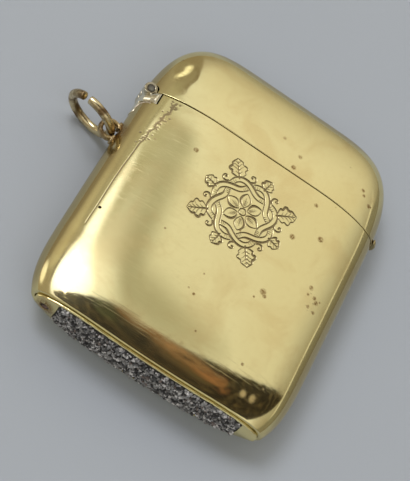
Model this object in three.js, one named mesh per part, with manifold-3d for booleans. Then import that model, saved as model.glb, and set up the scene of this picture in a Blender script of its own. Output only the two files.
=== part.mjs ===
// Pocket match case: a cushion-shaped brass box with a sprung side-hinged lid,
// a striker in the base and an eye with an open jump ring on the hinge side.
// Millimetres. X runs across the case, Y from base to lid, Z up out of the front.
// The origin is the middle of the flat back that the case rests on.

import * as THREE from "three";
import { mergeVertices } from "three/addons/utils/BufferGeometryUtils.js";
import Module from "manifold-3d";

// Cushion form of body and lid together
const CASE_WIDTH = 46;
const CASE_HEIGHT = 57;
const CASE_DEPTH = 11;
const SEAT_HEIGHT = 28;
const FLAT_WIDTH = 14;
const CROWN_ROLL = 24;
const BASE_ROLL = 15;
const BASE_DEPTH = 9.1;
const BASE_WIDTH = 41.8;
const BASE_BULGE = 1;
const CORNER_POWER = 3.5;
const SECTION_POWER = 2.4;
const BASE_POWER = 1.15;

// Sheet, seam and mouth
const WALL = 0.5;
const BODY_HEIGHT = 41;
const SEAM_GAP = 0.12;
const LID_PROUD = 0.1;
const LINER_WALL = 0.35;
const LINER_CLEARANCE = 0.06;
const LINER_BELOW = 2.5;
const LINER_ABOVE = 1.25;
const LINER_END = 1.2;

// Hinge at the corner of the seam
const PIN_INSET = 0.75;
const PIN_RISE = 0.35;
const PIN_RADIUS = 0.65;
const PIN_FIT = 0.02;
const KNUCKLE_RADIUS = 1.15;
const KNUCKLE_STACK = 5;
const MIDDLE_KNUCKLE = 1.2;
const KNUCKLE_GAP = 0.15;
const LEAF_WIDTH = 2;
const LEAF_DROP = 2.3;
const LEAF_PROUD = 0.12;
const LEAF_SLOT = 0.25;
const TONGUE_DROP = 2.5;
const TONGUE_WIDTH = 2.4;
const TONGUE_THICKNESS = 0.6;
const LID_CLEARANCE = 0.4;
const ARM_THICKNESS = 0.6;
const ARM_LENGTH = 5;
const ARM_NECK = 2;
const ARM_WIDTH = 3;
const ARM_CLEARANCE = 0.06;
const FLAT_CUT = 0.15;

// Lid spring and its cross pin
const SPRING_THICKNESS = 0.45;
const SPRING_WIDTH = 2.8;
const SPRING_CLEARANCE = 0.08;
const SPRING_TIP = 1.2;
const SPRING_BOW = 0.35;
const SPRING_FOOT_RADIUS = 0.9;
const CROSS_PIN_RADIUS = 0.22;
const CROSS_PIN_CLEARANCE = 0.04;
const CROSS_PIN_SUNK = 0.25;
const CROSS_PIN_HEIGHT = 16.5;
const CROSS_PIN_INSET = 3.9;

// Thumb lip
const LIP_REACH = 0.62;
const LIP_HEIGHT = 0.95;
const LIP_WIDTH = 2.8;
const LIP_NOSE = 0.22;

// Base plate, striker and rivet
const PLATE_THICKNESS = 1.5;
const PLATE_CLEARANCE = 0.12;
const PLATE_DOME = 0.5;
const PLATE_PROUD = 0.32;
const PAD_HINGE_SIDE = 3.6;
const PAD_OPEN_SIDE = 3;
const PLATE_RIM = 0.35;
const RECESS_DEPTH = 0.8;
const STRIKER_FIT = 0.05;
const GRIT_HEIGHT = 0.32;
const RIVET_RADIUS = 0.6;
const RIVET_INSET = 1.8;
const RIVET_SUNK = 0.12;
const RIVET_TAIL = 0.4;

// Eye and jump ring
const EYE_BELOW_SEAM = 9.25;
const EYE_OFFSET = 1.2;
const EYE_HOLE_RADIUS = 1.28;
const EYE_WIRE = 0.64;
const EYE_THICKNESS = 1.2;
const EYE_OPENING = 1.6;
const EYE_FOOT_LENGTH = 4.2;
const EYE_FOOT_THICKNESS = 0.3;
const SOLDER_GAP = 0.04;
const RING_WIRE_RADIUS = 0.74;
const RING_RADIUS = 4.25;
const RING_REST_INWARD = 0.34;
const RING_REST_DOWN = 0.12;
const RING_TURN = -14;
const RING_LEAN = 11;
const RING_GAP = 1.25;
const RING_GAP_ANGLE = 116;
const FLOOR_CLEARANCE = 0.08;

// Smoothness of the curved sheet
const EDGE_STEPS = 10;
const BASE_STEPS = 5;
const CROWN_STEPS = 12;

const wasm = await Module();
wasm.setup();

const MID_Z = CASE_DEPTH / 2;
const EDGE_ROLL = (CASE_WIDTH - FLAT_WIDTH) / 2;
const CROWN_START = CASE_HEIGHT - CROWN_ROLL;
const PIN = new THREE.Vector2(PIN_INSET - CASE_WIDTH / 2, BODY_HEIGHT + PIN_RISE - SEAT_HEIGHT);

const brass = { color: 0xb9a55c, roughness: 0.24, metalness: 1 };
const agedBrass = { color: 0x8c7440, roughness: 0.38, metalness: 1 };
const steel = { color: 0x5a5a55, roughness: 0.45, metalness: 1 };
const springSteel = { color: 0x6c6f72, roughness: 0.35, metalness: 1 };
const grit = { color: 0x3b3a3a, roughness: 0.95, metalness: 0 };

// Shares of the way from the flat middle to the crown, and to the foot of the base
function crownShare(height, grow) {
  return Math.max(0, height - CROWN_START) / (CROWN_ROLL + grow);
}

function baseShare(x, height, grow) {
  const middle = (1 - (BASE_DEPTH / CASE_DEPTH) ** 2) ** (1 / SECTION_POWER);
  const reach = (BASE_WIDTH - FLAT_WIDTH) / 2 / EDGE_ROLL;
  const corner = (1 - reach ** CORNER_POWER) ** (1 / CORNER_POWER);
  const share = middle + (corner - middle) * (x / (BASE_WIDTH / 2)) ** 2;
  const down = Math.max(0, BASE_ROLL - height) / BASE_ROLL;
  return share * down ** BASE_POWER * (1 - 0.08 * grow);
}

// How far the cushion lies above its middle plane; grow moves the skin out or in
function squareness(x, height, grow) {
  const across = Math.max(0, Math.abs(x) - FLAT_WIDTH / 2) / (EDGE_ROLL + grow);
  const along = Math.max(crownShare(height, grow), baseShare(x, height, grow));
  return across ** CORNER_POWER + along ** CORNER_POWER;
}

function halfDepth(x, height, grow) {
  const share = squareness(x, height, grow) ** (SECTION_POWER / CORNER_POWER);
  return (MID_Z + grow) * Math.sqrt(Math.max(0, 1 - share));
}

// Half width of the outline at a height, found by halving
function halfWidth(height, grow) {
  let inside = 0;
  let outside = CASE_WIDTH / 2 + grow;
  if (squareness(outside, height, grow) <= 1) {
    return outside;
  }
  for (let turn = 0; turn < 40; turn += 1) {
    const middle = (inside + outside) / 2;
    if (squareness(middle, height, grow) < 1) {
      inside = middle;
    } else {
      outside = middle;
    }
  }
  return outside;
}

// Places across one row, close together where the sheet turns over at the edges
function placesAcross(limit) {
  const flat = Math.min(FLAT_WIDTH / 2, limit);
  const right = [flat * 0.4];
  for (let step = 0; step <= EDGE_STEPS; step += 1) {
    right.push(flat + (limit - flat) * Math.sin((step / EDGE_STEPS) * (Math.PI / 2)));
  }
  return [...right.map((x) => -x).reverse(), ...right];
}

function evenSteps(from, to, steps) {
  return Array.from({ length: steps + 1 }, (_, step) => from + ((to - from) * step) / steps);
}

// The base edge runs out in a shallow bow between its corners
function bulgeAt(x) {
  return BASE_BULGE * Math.max(0, 1 - (x / (BASE_WIDTH / 2)) ** 2);
}

function bodyHeights() {
  const foot = evenSteps(0, BASE_ROLL, BASE_STEPS);
  const shoulder = evenSteps(CROWN_START, BODY_HEIGHT, 3);
  return [...foot, ...shoulder];
}

// The lid's rows crowd towards the crown and end on the middle plane
function lidHeights(from, grow) {
  const first = Math.asin(Math.min(1, crownShare(from, grow)));
  const last = THREE.MathUtils.degToRad(88);
  const climb = evenSteps(first, last, CROWN_STEPS).map((angle) => Math.sin(angle));
  return climb.map((share) => CROWN_START + (CROWN_ROLL + grow) * share);
}

function skinRow(height, grow, side, bow) {
  return placesAcross(halfWidth(height, grow)).map((x) => {
    const y = height - bow * bulgeAt(x);
    return [x, y - SEAT_HEIGHT, MID_Z + side * halfDepth(x, y, grow)];
  });
}

function bodySkin(grow, side) {
  return bodyHeights().map((height) => {
    const bow = Math.max(0, 1 - height / BASE_ROLL);
    return skinRow(height, grow, side, bow);
  });
}

function lidSkin(grow, side, from) {
  const rows = lidHeights(from, grow).map((height) => skinRow(height, grow, side, 0));
  const top = rows[rows.length - 1];
  rows.push(top.map(([x, y]) => [x, y, MID_Z]));
  return rows;
}

// One closed surface from points and faces: equal points are shared, flat ends dropped
function closedSurface(points, faces) {
  const flat = new THREE.BufferGeometry();
  flat.setAttribute("position", new THREE.Float32BufferAttribute(points.flat(), 3));
  flat.setIndex(faces.flat());
  return shared(flat);
}

function shared(geometry) {
  const plain = geometry.clone();
  plain.deleteAttribute("normal");
  plain.deleteAttribute("uv");
  const joined = mergeVertices(plain, 1e-4);
  const old = joined.index.array;
  const kept = [];
  for (let face = 0; face < old.length; face += 3) {
    const [a, b, c] = [old[face], old[face + 1], old[face + 2]];
    if (a !== b && b !== c && c !== a) {
      kept.push(a, b, c);
    }
  }
  joined.setIndex(kept);
  return joined;
}

function signedVolume(geometry) {
  const place = geometry.attributes.position;
  const index = geometry.index.array;
  const [a, b, c] = [new THREE.Vector3(), new THREE.Vector3(), new THREE.Vector3()];
  let total = 0;
  for (let face = 0; face < index.length; face += 3) {
    a.fromBufferAttribute(place, index[face]);
    b.fromBufferAttribute(place, index[face + 1]);
    c.fromBufferAttribute(place, index[face + 2]);
    total += a.dot(b.cross(c)) / 6;
  }
  return total;
}

function facingOut(geometry) {
  if (signedVolume(geometry) < 0) {
    const index = Array.from(geometry.index.array);
    for (let face = 0; face < index.length; face += 3) {
      [index[face], index[face + 1]] = [index[face + 1], index[face]];
    }
    geometry.setIndex(index);
  }
  return geometry;
}

// The wall between two skins that are grids of equal size
function wallBetween(outer, inner) {
  const rows = outer.length - 1;
  const columns = outer[0].length - 1;
  const count = (rows + 1) * (columns + 1);
  const at = (skin, row, column) => skin * count + row * (columns + 1) + column;
  const faces = [];
  const quad = (a, b, c, d) => faces.push([a, b, c], [a, c, d]);
  for (let row = 0; row < rows; row += 1) {
    for (let column = 0; column < columns; column += 1) {
      const [up, on] = [row + 1, column + 1];
      quad(at(0, row, column), at(0, row, on), at(0, up, on), at(0, up, column));
      quad(at(1, row, column), at(1, up, column), at(1, up, on), at(1, row, on));
    }
    const up = row + 1;
    quad(at(0, row, 0), at(0, up, 0), at(1, up, 0), at(1, row, 0));
    quad(at(0, up, columns), at(0, row, columns), at(1, row, columns), at(1, up, columns));
  }
  for (let column = 0; column < columns; column += 1) {
    const on = column + 1;
    quad(at(0, 0, on), at(0, 0, column), at(1, 0, column), at(1, 0, on));
    quad(at(0, rows, column), at(0, rows, on), at(1, rows, on), at(1, rows, column));
  }
  return facingOut(closedSurface([...outer.flat(), ...inner.flat()], faces));
}

function solidOf(geometry) {
  const closed = shared(geometry);
  return new wasm.Manifold(new wasm.Mesh({
    numProp: 3,
    vertProperties: Float32Array.from(closed.attributes.position.array),
    triVerts: Uint32Array.from(closed.index.array),
  }));
}

function geometryOf(solid) {
  const mesh = solid.getMesh();
  const geometry = new THREE.BufferGeometry();
  geometry.setAttribute("position", new THREE.BufferAttribute(mesh.vertProperties, 3));
  geometry.setIndex(new THREE.BufferAttribute(mesh.triVerts, 1));
  return geometry;
}

// The whole cushion as one solid, used to trim what follows its skin
function cushion(grow) {
  const below = -4;
  const heights = [...evenSteps(below, BASE_ROLL, BASE_STEPS + 2), ...evenSteps(CROWN_START, BODY_HEIGHT, 4)];
  const rowsOf = (side) => [
    ...heights.map((height) => skinRow(height, grow, side, 0)),
    ...lidSkin(grow, side, BODY_HEIGHT).slice(1),
  ];
  return solidOf(wallBetween(rowsOf(1), rowsOf(-1)));
}

// An outline of Y and Z, run along X from one place to another
function alongX(outline, from, to) {
  const geometry = new THREE.ExtrudeGeometry(outline, { depth: to - from, bevelEnabled: false, curveSegments: 8 });
  const turn = new THREE.Matrix4().makeBasis(
    new THREE.Vector3(0, 1, 0),
    new THREE.Vector3(0, 0, 1),
    new THREE.Vector3(1, 0, 0),
  );
  geometry.applyMatrix4(turn);
  geometry.translate(from, 0, 0);
  return solidOf(geometry);
}

// An outline of X and Y, run along Z to both sides of the middle plane
function acrossDepth(outline, from, to, segments = 24) {
  const geometry = new THREE.ExtrudeGeometry(outline, {
    depth: to - from,
    bevelEnabled: false,
    curveSegments: segments,
  });
  geometry.translate(0, 0, MID_Z + from);
  return solidOf(geometry);
}

function circle(x, y, radius) {
  const outline = new THREE.Shape();
  outline.absarc(x, y, radius, 0, Math.PI * 2);
  return outline;
}

function rectangle(left, bottom, right, top) {
  return new THREE.Shape([
    new THREE.Vector2(left, bottom),
    new THREE.Vector2(right, bottom),
    new THREE.Vector2(right, top),
    new THREE.Vector2(left, top),
  ]);
}

function roundedRectangle(left, bottom, right, top, radius) {
  const outline = new THREE.Shape();
  outline.absarc(right - radius, bottom + radius, radius, -Math.PI / 2, 0);
  outline.absarc(right - radius, top - radius, radius, 0, Math.PI / 2);
  outline.absarc(left + radius, top - radius, radius, Math.PI / 2, Math.PI);
  outline.absarc(left + radius, bottom + radius, radius, Math.PI, Math.PI * 1.5);
  return outline;
}

// Hinge: places shared by the leaf, its notch, the lid and the spring
const SEAM_Y = BODY_HEIGHT - SEAT_HEIGHT;
const LEAF_FLOOR = SEAM_Y - LEAF_DROP;
const LEAF_EDGE = PIN.x + LEAF_WIDTH;
const CASE_SIDE = -CASE_WIDTH / 2;

// Side view of the leaf: full depth above, a round-ended tongue below
function leafOutline() {
  const half = TONGUE_WIDTH / 2;
  const round = half / 2;
  const foot = LEAF_FLOOR - TONGUE_DROP;
  const outline = new THREE.Shape();
  outline.moveTo(SEAM_Y, MID_Z - CASE_DEPTH);
  outline.lineTo(SEAM_Y, MID_Z + CASE_DEPTH);
  outline.lineTo(LEAF_FLOOR, MID_Z + CASE_DEPTH);
  outline.lineTo(LEAF_FLOOR, MID_Z + half);
  outline.absarc(foot + round, MID_Z + half - round, round, Math.PI / 2, Math.PI);
  outline.absarc(foot + round, MID_Z - half + round, round, Math.PI, Math.PI * 1.5);
  outline.lineTo(LEAF_FLOOR, MID_Z - half);
  outline.lineTo(LEAF_FLOOR, MID_Z - CASE_DEPTH);
  return outline;
}

function crossPinPlace() {
  return new THREE.Vector2(CASE_SIDE + CROSS_PIN_INSET, CROSS_PIN_HEIGHT - SEAT_HEIGHT);
}

function bodyHalf(side) {
  const shell = solidOf(wallBetween(bodySkin(0, side), bodySkin(-WALL, side)));
  const notch = alongX(leafOutline(), CASE_SIDE - 2, LEAF_EDGE + LEAF_SLOT);
  const pin = crossPinPlace();
  const hole = acrossDepth(circle(pin.x, pin.y, CROSS_PIN_RADIUS + CROSS_PIN_CLEARANCE), -CASE_DEPTH, CASE_DEPTH, 6);
  return geometryOf(shell.subtract(notch).subtract(hole));
}

function lidHalf(side) {
  const from = BODY_HEIGHT + SEAM_GAP;
  const shell = solidOf(wallBetween(lidSkin(LID_PROUD, side, from), lidSkin(LID_PROUD - WALL, side, from)));
  const room = acrossDepth(circle(PIN.x, PIN.y, KNUCKLE_RADIUS + LID_CLEARANCE), -CASE_DEPTH, CASE_DEPTH);
  return geometryOf(shell.subtract(room));
}

// A band just inside the mouth, open beside the hinge
function mouthLiner() {
  const start = LEAF_EDGE + LINER_END;
  const skin = (grow) => evenSteps(BODY_HEIGHT - LINER_BELOW, BODY_HEIGHT + LINER_ABOVE, 3).map((height) => {
    const front = placesAcross(halfWidth(height, grow)).filter((x) => x > start + 0.4);
    const across = [start, ...front];
    const back = across.slice(0, -1).reverse();
    const place = (side) => (x) => [x, height - SEAT_HEIGHT, MID_Z + side * halfDepth(x, height, grow)];
    return [...across.map(place(1)), ...back.map(place(-1))];
  });
  const outside = -WALL - LINER_CLEARANCE;
  return wallBetween(skin(outside), skin(outside - LINER_WALL));
}

function knuckle(from, to) {
  return acrossDepth(circle(PIN.x, PIN.y, KNUCKLE_RADIUS), from, to);
}

function hingeLeaf() {
  const block = cushion(LEAF_PROUD).intersect(alongX(leafOutline(), CASE_SIDE - 2, LEAF_EDGE));
  const inner = CASE_SIDE + TONGUE_THICKNESS - LEAF_PROUD;
  const behindTongue = rectangle(inner, LEAF_FLOOR - TONGUE_DROP - 1, LEAF_EDGE + 1, LEAF_FLOOR);
  const springRoom = rectangle(PIN.x + KNUCKLE_RADIUS + SPRING_CLEARANCE / 2, LEAF_FLOOR - 1, LEAF_EDGE + 1, SEAM_Y + 1);
  const springHalf = SPRING_WIDTH / 2 + LEAF_SLOT;
  const slotHalf = MIDDLE_KNUCKLE / 2 + KNUCKLE_GAP;
  const slot = acrossDepth(circle(PIN.x, PIN.y, KNUCKLE_RADIUS + KNUCKLE_GAP), -slotHalf, slotHalf);
  const bore = acrossDepth(circle(PIN.x, PIN.y, PIN_RADIUS + PIN_FIT), -CASE_DEPTH, CASE_DEPTH, 12);
  return geometryOf(
    block
      .subtract(acrossDepth(behindTongue, -CASE_DEPTH, CASE_DEPTH))
      .subtract(acrossDepth(springRoom, -springHalf, springHalf))
      .add(knuckle(slotHalf, KNUCKLE_STACK / 2))
      .add(knuckle(-KNUCKLE_STACK / 2, -slotHalf))
      .subtract(slot)
      .subtract(bore),
  );
}

function hingePin() {
  const ends = KNUCKLE_STACK / 2;
  return geometryOf(acrossDepth(circle(PIN.x, PIN.y, PIN_RADIUS), -ends, ends, 12));
}

// Side view of the arm: a narrow neck through the leaf's slot, then a wide plate
function armOutline() {
  const neckHalf = MIDDLE_KNUCKLE / 2;
  const plateHalf = ARM_WIDTH / 2;
  const top = PIN.y + ARM_LENGTH;
  const outline = new THREE.Shape();
  outline.moveTo(PIN.y, MID_Z - neckHalf);
  outline.lineTo(PIN.y + ARM_NECK, MID_Z - neckHalf);
  outline.lineTo(PIN.y + ARM_NECK + plateHalf - neckHalf, MID_Z - plateHalf);
  outline.absarc(top - neckHalf, MID_Z - plateHalf + neckHalf, neckHalf, -Math.PI / 2, 0);
  outline.absarc(top - neckHalf, MID_Z + plateHalf - neckHalf, neckHalf, 0, Math.PI / 2);
  outline.lineTo(PIN.y + ARM_NECK + plateHalf - neckHalf, MID_Z + plateHalf);
  outline.lineTo(PIN.y + ARM_NECK, MID_Z + neckHalf);
  outline.lineTo(PIN.y, MID_Z + neckHalf);
  return outline;
}

// The middle knuckle has a flat for the closed lid and one for the open lid
function lidLeaf() {
  const half = MIDDLE_KNUCKLE / 2;
  const inside = LID_PROUD - WALL - ARM_CLEARANCE;
  const follow = cushion(inside).subtract(cushion(inside - ARM_THICKNESS));
  const arm = follow.intersect(alongX(armOutline(), CASE_SIDE, PIN.x + ARM_WIDTH));
  const flat = KNUCKLE_RADIUS - FLAT_CUT;
  const far = KNUCKLE_RADIUS + 1;
  const closedFlat = rectangle(PIN.x + flat, PIN.y - far, PIN.x + far, PIN.y + far);
  const openFlat = rectangle(PIN.x - far, PIN.y - far, PIN.x + far, PIN.y - flat);
  const bore = acrossDepth(circle(PIN.x, PIN.y, PIN_RADIUS + 2.5 * PIN_FIT), -CASE_DEPTH, CASE_DEPTH, 12);
  return geometryOf(
    knuckle(-half, half)
      .subtract(acrossDepth(closedFlat, -CASE_DEPTH, CASE_DEPTH))
      .subtract(acrossDepth(openFlat, -CASE_DEPTH, CASE_DEPTH))
      .add(arm)
      .subtract(bore),
  );
}

// A leaf spring: a foot rolled round the cross pin and a bowed strip up to the knuckle
function lidSpring() {
  const foot = crossPinPlace();
  const face = PIN.x + KNUCKLE_RADIUS + SPRING_CLEARANCE;
  const line = new THREE.CatmullRomCurve3([
    new THREE.Vector3(foot.x - SPRING_FOOT_RADIUS + SPRING_THICKNESS / 2, foot.y, 0),
    new THREE.Vector3(face - SPRING_BOW, foot.y + (SEAM_Y - foot.y) * 0.4, 0),
    new THREE.Vector3(face - SPRING_BOW / 2, foot.y + (SEAM_Y - foot.y) * 0.7, 0),
    new THREE.Vector3(face + SPRING_THICKNESS / 2, LEAF_FLOOR - 0.5, 0),
    new THREE.Vector3(face + SPRING_THICKNESS / 2, SEAM_Y + SPRING_TIP, 0),
  ]);
  const steps = 20;
  const sideOf = (sign) => evenSteps(0, 1, steps).map((share) => {
    const point = line.getPoint(share);
    const run = line.getTangent(share);
    return new THREE.Vector2(point.x - sign * run.y * SPRING_THICKNESS / 2, point.y + sign * run.x * SPRING_THICKNESS / 2);
  });
  const strip = new THREE.Shape([...sideOf(-1), ...sideOf(1).reverse()]);
  const half = SPRING_WIDTH / 2;
  const hole = circle(foot.x, foot.y, CROSS_PIN_RADIUS + CROSS_PIN_CLEARANCE);
  return geometryOf(
    acrossDepth(strip, -half, half)
      .add(acrossDepth(circle(foot.x, foot.y, SPRING_FOOT_RADIUS), -half, half, 10))
      .subtract(acrossDepth(hole, -CASE_DEPTH, CASE_DEPTH, 6)),
  );
}

function springPin() {
  const place = crossPinPlace();
  const reach = halfDepth(place.x, CROSS_PIN_HEIGHT, 0) - CROSS_PIN_SUNK;
  return geometryOf(acrossDepth(circle(place.x, place.y, CROSS_PIN_RADIUS), -reach, reach, 6));
}

// A crescent ledge with a flat underside, fitted to the lid's narrow side
function thumbLip() {
  const side = CASE_WIDTH / 2 + LID_PROUD;
  const low = SEAM_Y + SEAM_GAP;
  const tip = side + LIP_REACH;
  const profile = new THREE.Shape();
  profile.moveTo(side - WALL / 2, low);
  profile.lineTo(tip - LIP_NOSE, low);
  profile.absarc(tip - LIP_NOSE, low + LIP_NOSE, LIP_NOSE, -Math.PI / 2, Math.PI / 3);
  profile.lineTo(side - WALL / 2, low + LIP_HEIGHT);
  const half = LIP_WIDTH / 2;
  const rounded = new THREE.CylinderGeometry(1, 1, CASE_HEIGHT, 40);
  rounded.scale(LIP_REACH + WALL, 1, half);
  rounded.translate(side - WALL, low, MID_Z);
  return geometryOf(
    acrossDepth(profile, -half, half, 5)
      .intersect(solidOf(rounded))
      .subtract(cushion(LID_PROUD + SOLDER_GAP)),
  );
}

// Places on the base plate's outer face, and below it by a depth
const PLATE_GROW = -WALL - PLATE_CLEARANCE;

function plateHalf(x, rim) {
  return halfDepth(x, -bulgeAt(x), PLATE_GROW) - rim;
}

function platePoint(x, share, rim, depth) {
  const half = plateHalf(x, rim);
  const crown = PLATE_DOME * (1 - (share * half / plateHalf(x, 0)) ** 2);
  return [x, depth - bulgeAt(x) - crown - PLATE_PROUD - SEAT_HEIGHT, MID_Z + share * half];
}

function plateGrid(places, shares, rim, depth) {
  return shares.map((share) => places.map((x) => platePoint(x, share, rim, depth)));
}

function plateEnd() {
  return halfWidth(0, PLATE_GROW) - 0.25;
}

function recessPlaces(clearance, steps) {
  const end = plateEnd();
  return evenSteps(PAD_HINGE_SIDE - end + clearance, end - PAD_OPEN_SIDE - clearance, steps);
}

function roundShares(steps) {
  return evenSteps(-1, 1, steps).map((share) => Math.sin((share * Math.PI) / 2));
}

function rivetPlace() {
  return new THREE.Vector2(RIVET_INSET - plateEnd(), MID_Z);
}

function rivet(radius, from, to) {
  const place = rivetPlace();
  const geometry = new THREE.CylinderGeometry(radius, radius, to - from, 20);
  geometry.translate(place.x, (from + to) / 2, place.y);
  return solidOf(geometry);
}

function basePlate() {
  const end = plateEnd();
  const places = placesAcross(end);
  const shares = roundShares(10);
  const back = places.map((x) => [x, PLATE_THICKNESS - SEAT_HEIGHT]);
  const inside = shares.map((share) => back.map(([x, y]) => [x, y, MID_Z + share * plateHalf(x, 0)]));
  const plate = solidOf(wallBetween(plateGrid(places, shares, 0, 0), inside));
  const across = recessPlaces(0, 16);
  const recess = solidOf(wallBetween(
    plateGrid(across, shares, PLATE_RIM, -3),
    plateGrid(across, shares, PLATE_RIM, RECESS_DEPTH),
  ));
  const hole = rivet(RIVET_RADIUS + STRIKER_FIT, -CASE_HEIGHT, PLATE_THICKNESS);
  return geometryOf(plate.subtract(recess).subtract(hole));
}

// Uneven heights for the grit, the same each time
function gritHeight(column, row) {
  const wave = Math.sin(column * 12.9898 + row * 78.233) * 43758.5453;
  return (wave - Math.floor(wave)) * GRIT_HEIGHT;
}

function strikerStrip() {
  const across = recessPlaces(STRIKER_FIT, 48);
  const shares = evenSteps(-1, 1, 7);
  const rim = PLATE_RIM + STRIKER_FIT;
  const face = shares.map((share, row) => across.map((x, column) => {
    const border = row === 0 || row === shares.length - 1;
    return platePoint(x, share, rim, border ? 0 : -gritHeight(column, row));
  }));
  return wallBetween(face, plateGrid(across, shares, rim, RECESS_DEPTH - STRIKER_FIT));
}

function baseRivet() {
  const place = rivetPlace();
  const face = -bulgeAt(place.x) - PLATE_DOME - PLATE_PROUD - SEAT_HEIGHT + RIVET_SUNK;
  return geometryOf(rivet(RIVET_RADIUS, face, PLATE_THICKNESS + RIVET_TAIL - SEAT_HEIGHT));
}

// Eye: a rounded band open towards the case, with a foot under each of its two ends
function eyeCentre() {
  return new THREE.Vector3(CASE_SIDE - EYE_OFFSET, SEAM_Y - EYE_BELOW_SEAM, MID_Z);
}

function ringEye() {
  const centre = eyeCentre();
  const middle = EYE_HOLE_RADIUS + EYE_WIRE / 2;
  const section = evenSteps(0, Math.PI * 2, 10).map((angle) => new THREE.Vector2(
    middle + (EYE_WIRE / 2) * Math.cos(angle),
    (EYE_THICKNESS / 2) * Math.sin(angle),
  ));
  const band = new THREE.LatheGeometry(section, 28);
  band.rotateX(Math.PI / 2);
  band.translate(centre.x, centre.y, centre.z);
  const half = EYE_FOOT_LENGTH / 2;
  const thick = EYE_THICKNESS / 2;
  const foot = roundedRectangle(centre.y - half, MID_Z - thick, centre.y + half, MID_Z + thick, thick * 0.6);
  const footSolid = alongX(foot, CASE_SIDE - EYE_FOOT_THICKNESS, CASE_SIDE + WALL);
  const hole = acrossDepth(circle(centre.x, centre.y, EYE_HOLE_RADIUS), -CASE_DEPTH, CASE_DEPTH, 14);
  const open = EYE_OPENING / 2;
  const opening = acrossDepth(rectangle(centre.x, centre.y - open, 0, centre.y + open), -CASE_DEPTH, CASE_DEPTH);
  return geometryOf(
    solidOf(facingOut(shared(band)))
      .add(footSolid.subtract(hole))
      .subtract(opening)
      .subtract(cushion(SOLDER_GAP)),
  );
}

// The ring's wire starts and ends at the gap; angle 0 is in the eye
class RingLine extends THREE.Curve {
  getPoint(share, target = new THREE.Vector3()) {
    const half = (RING_GAP / 2 / RING_RADIUS) * (180 / Math.PI);
    const turn = RING_GAP_ANGLE + half + share * (360 - 2 * half);
    const angle = THREE.MathUtils.degToRad(turn);
    return target.set(RING_RADIUS * (Math.cos(angle) - 1), 0, RING_RADIUS * Math.sin(angle));
  }
}

function jumpRing() {
  const wire = circle(0, 0, RING_WIRE_RADIUS);
  return facingOut(shared(new THREE.ExtrudeGeometry(wire, {
    extrudePath: new RingLine(),
    steps: 44,
    curveSegments: 12,
    bevelEnabled: false,
  })));
}

function piece(name, geometry, look) {
  geometry.computeVertexNormals();
  const mesh = new THREE.Mesh(geometry, new THREE.MeshStandardMaterial(look));
  mesh.name = name;
  return mesh;
}

const group = new THREE.Group();
group.add(piece("body_front", bodyHalf(1), brass));
group.add(piece("body_back", bodyHalf(-1), brass));
group.add(piece("mouth_liner", mouthLiner(), brass));
group.add(piece("hinge_leaf", hingeLeaf(), brass));
group.add(piece("hinge_pin", hingePin(), steel));
group.add(piece("lid_spring", lidSpring(), springSteel));
group.add(piece("spring_pin", springPin(), steel));
group.add(piece("base_plate", basePlate(), brass));
group.add(piece("striker_strip", strikerStrip(), grit));
group.add(piece("base_rivet", baseRivet(), steel));
group.add(piece("ring_eye", ringEye(), agedBrass));

const lid = new THREE.Group();
lid.add(piece("lid_front", lidHalf(1), brass));
lid.add(piece("lid_back", lidHalf(-1), brass));
lid.add(piece("lid_leaf", lidLeaf(), brass));
lid.add(piece("thumb_lip", thumbLip(), brass));
group.add(lid);

// The ring stands on the ground beside the case, leaning a little, with its wire in the eye
const lean = THREE.MathUtils.degToRad(RING_LEAN);
const ring = new THREE.Group();
ring.position.set(
  eyeCentre().x + RING_REST_INWARD,
  eyeCentre().y - RING_REST_DOWN,
  RING_RADIUS * Math.cos(lean) + RING_WIRE_RADIUS + FLOOR_CLEARANCE,
);
ring.rotation.z = THREE.MathUtils.degToRad(RING_TURN);
const wire = piece("jump_ring", jumpRing(), agedBrass);
wire.rotation.x = lean;
ring.add(wire);
group.add(ring);

export default group;
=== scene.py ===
import math

import bpy
import numpy as np
from mathutils import Matrix, Vector


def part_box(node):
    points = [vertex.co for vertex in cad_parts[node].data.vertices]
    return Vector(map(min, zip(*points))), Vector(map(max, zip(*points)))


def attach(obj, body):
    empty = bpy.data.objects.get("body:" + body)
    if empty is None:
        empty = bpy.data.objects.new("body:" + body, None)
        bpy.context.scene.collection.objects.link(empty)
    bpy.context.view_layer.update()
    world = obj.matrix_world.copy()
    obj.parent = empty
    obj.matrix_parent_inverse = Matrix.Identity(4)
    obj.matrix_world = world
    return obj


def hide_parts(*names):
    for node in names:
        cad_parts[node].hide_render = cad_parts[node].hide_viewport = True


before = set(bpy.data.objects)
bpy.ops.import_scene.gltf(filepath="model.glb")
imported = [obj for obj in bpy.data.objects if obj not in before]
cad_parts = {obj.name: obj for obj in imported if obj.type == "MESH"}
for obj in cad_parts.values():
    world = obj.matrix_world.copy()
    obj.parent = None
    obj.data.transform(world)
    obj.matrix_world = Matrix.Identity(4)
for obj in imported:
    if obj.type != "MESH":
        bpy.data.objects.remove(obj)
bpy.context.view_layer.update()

bl_info = {
    "name": "Pocket Match Case",
    "version": (1, 0, 0),
    "blender": (4, 5, 0),
    "location": "View3D > Sidebar > Match Case",
    "description": "Builds the polished, engraved finish of a brass pocket match case",
    "category": "Object",
}

MM = 0.001
BODY_LOW, BODY_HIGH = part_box("body_front")
PIN_LOW, PIN_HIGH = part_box("hinge_pin")
SPRING_PIN_LOW, SPRING_PIN_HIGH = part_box("spring_pin")
RIVET_LOW, RIVET_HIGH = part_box("base_rivet")
LEAF_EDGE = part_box("hinge_leaf")[1].x
HINGE_AXIS = (PIN_LOW + PIN_HIGH) / 2
SPRING_PIN = (SPRING_PIN_LOW + SPRING_PIN_HIGH) / 2
RIVET = (RIVET_LOW + RIVET_HIGH) / 2
HALVINGS = 44
LEAF_ROOM = 0.25 * MM
PIN_ROOM = 0.04 * MM
KNUCKLE_ROOM = 1.3 * MM
WELD_REACH = 0.002 * MM


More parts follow.
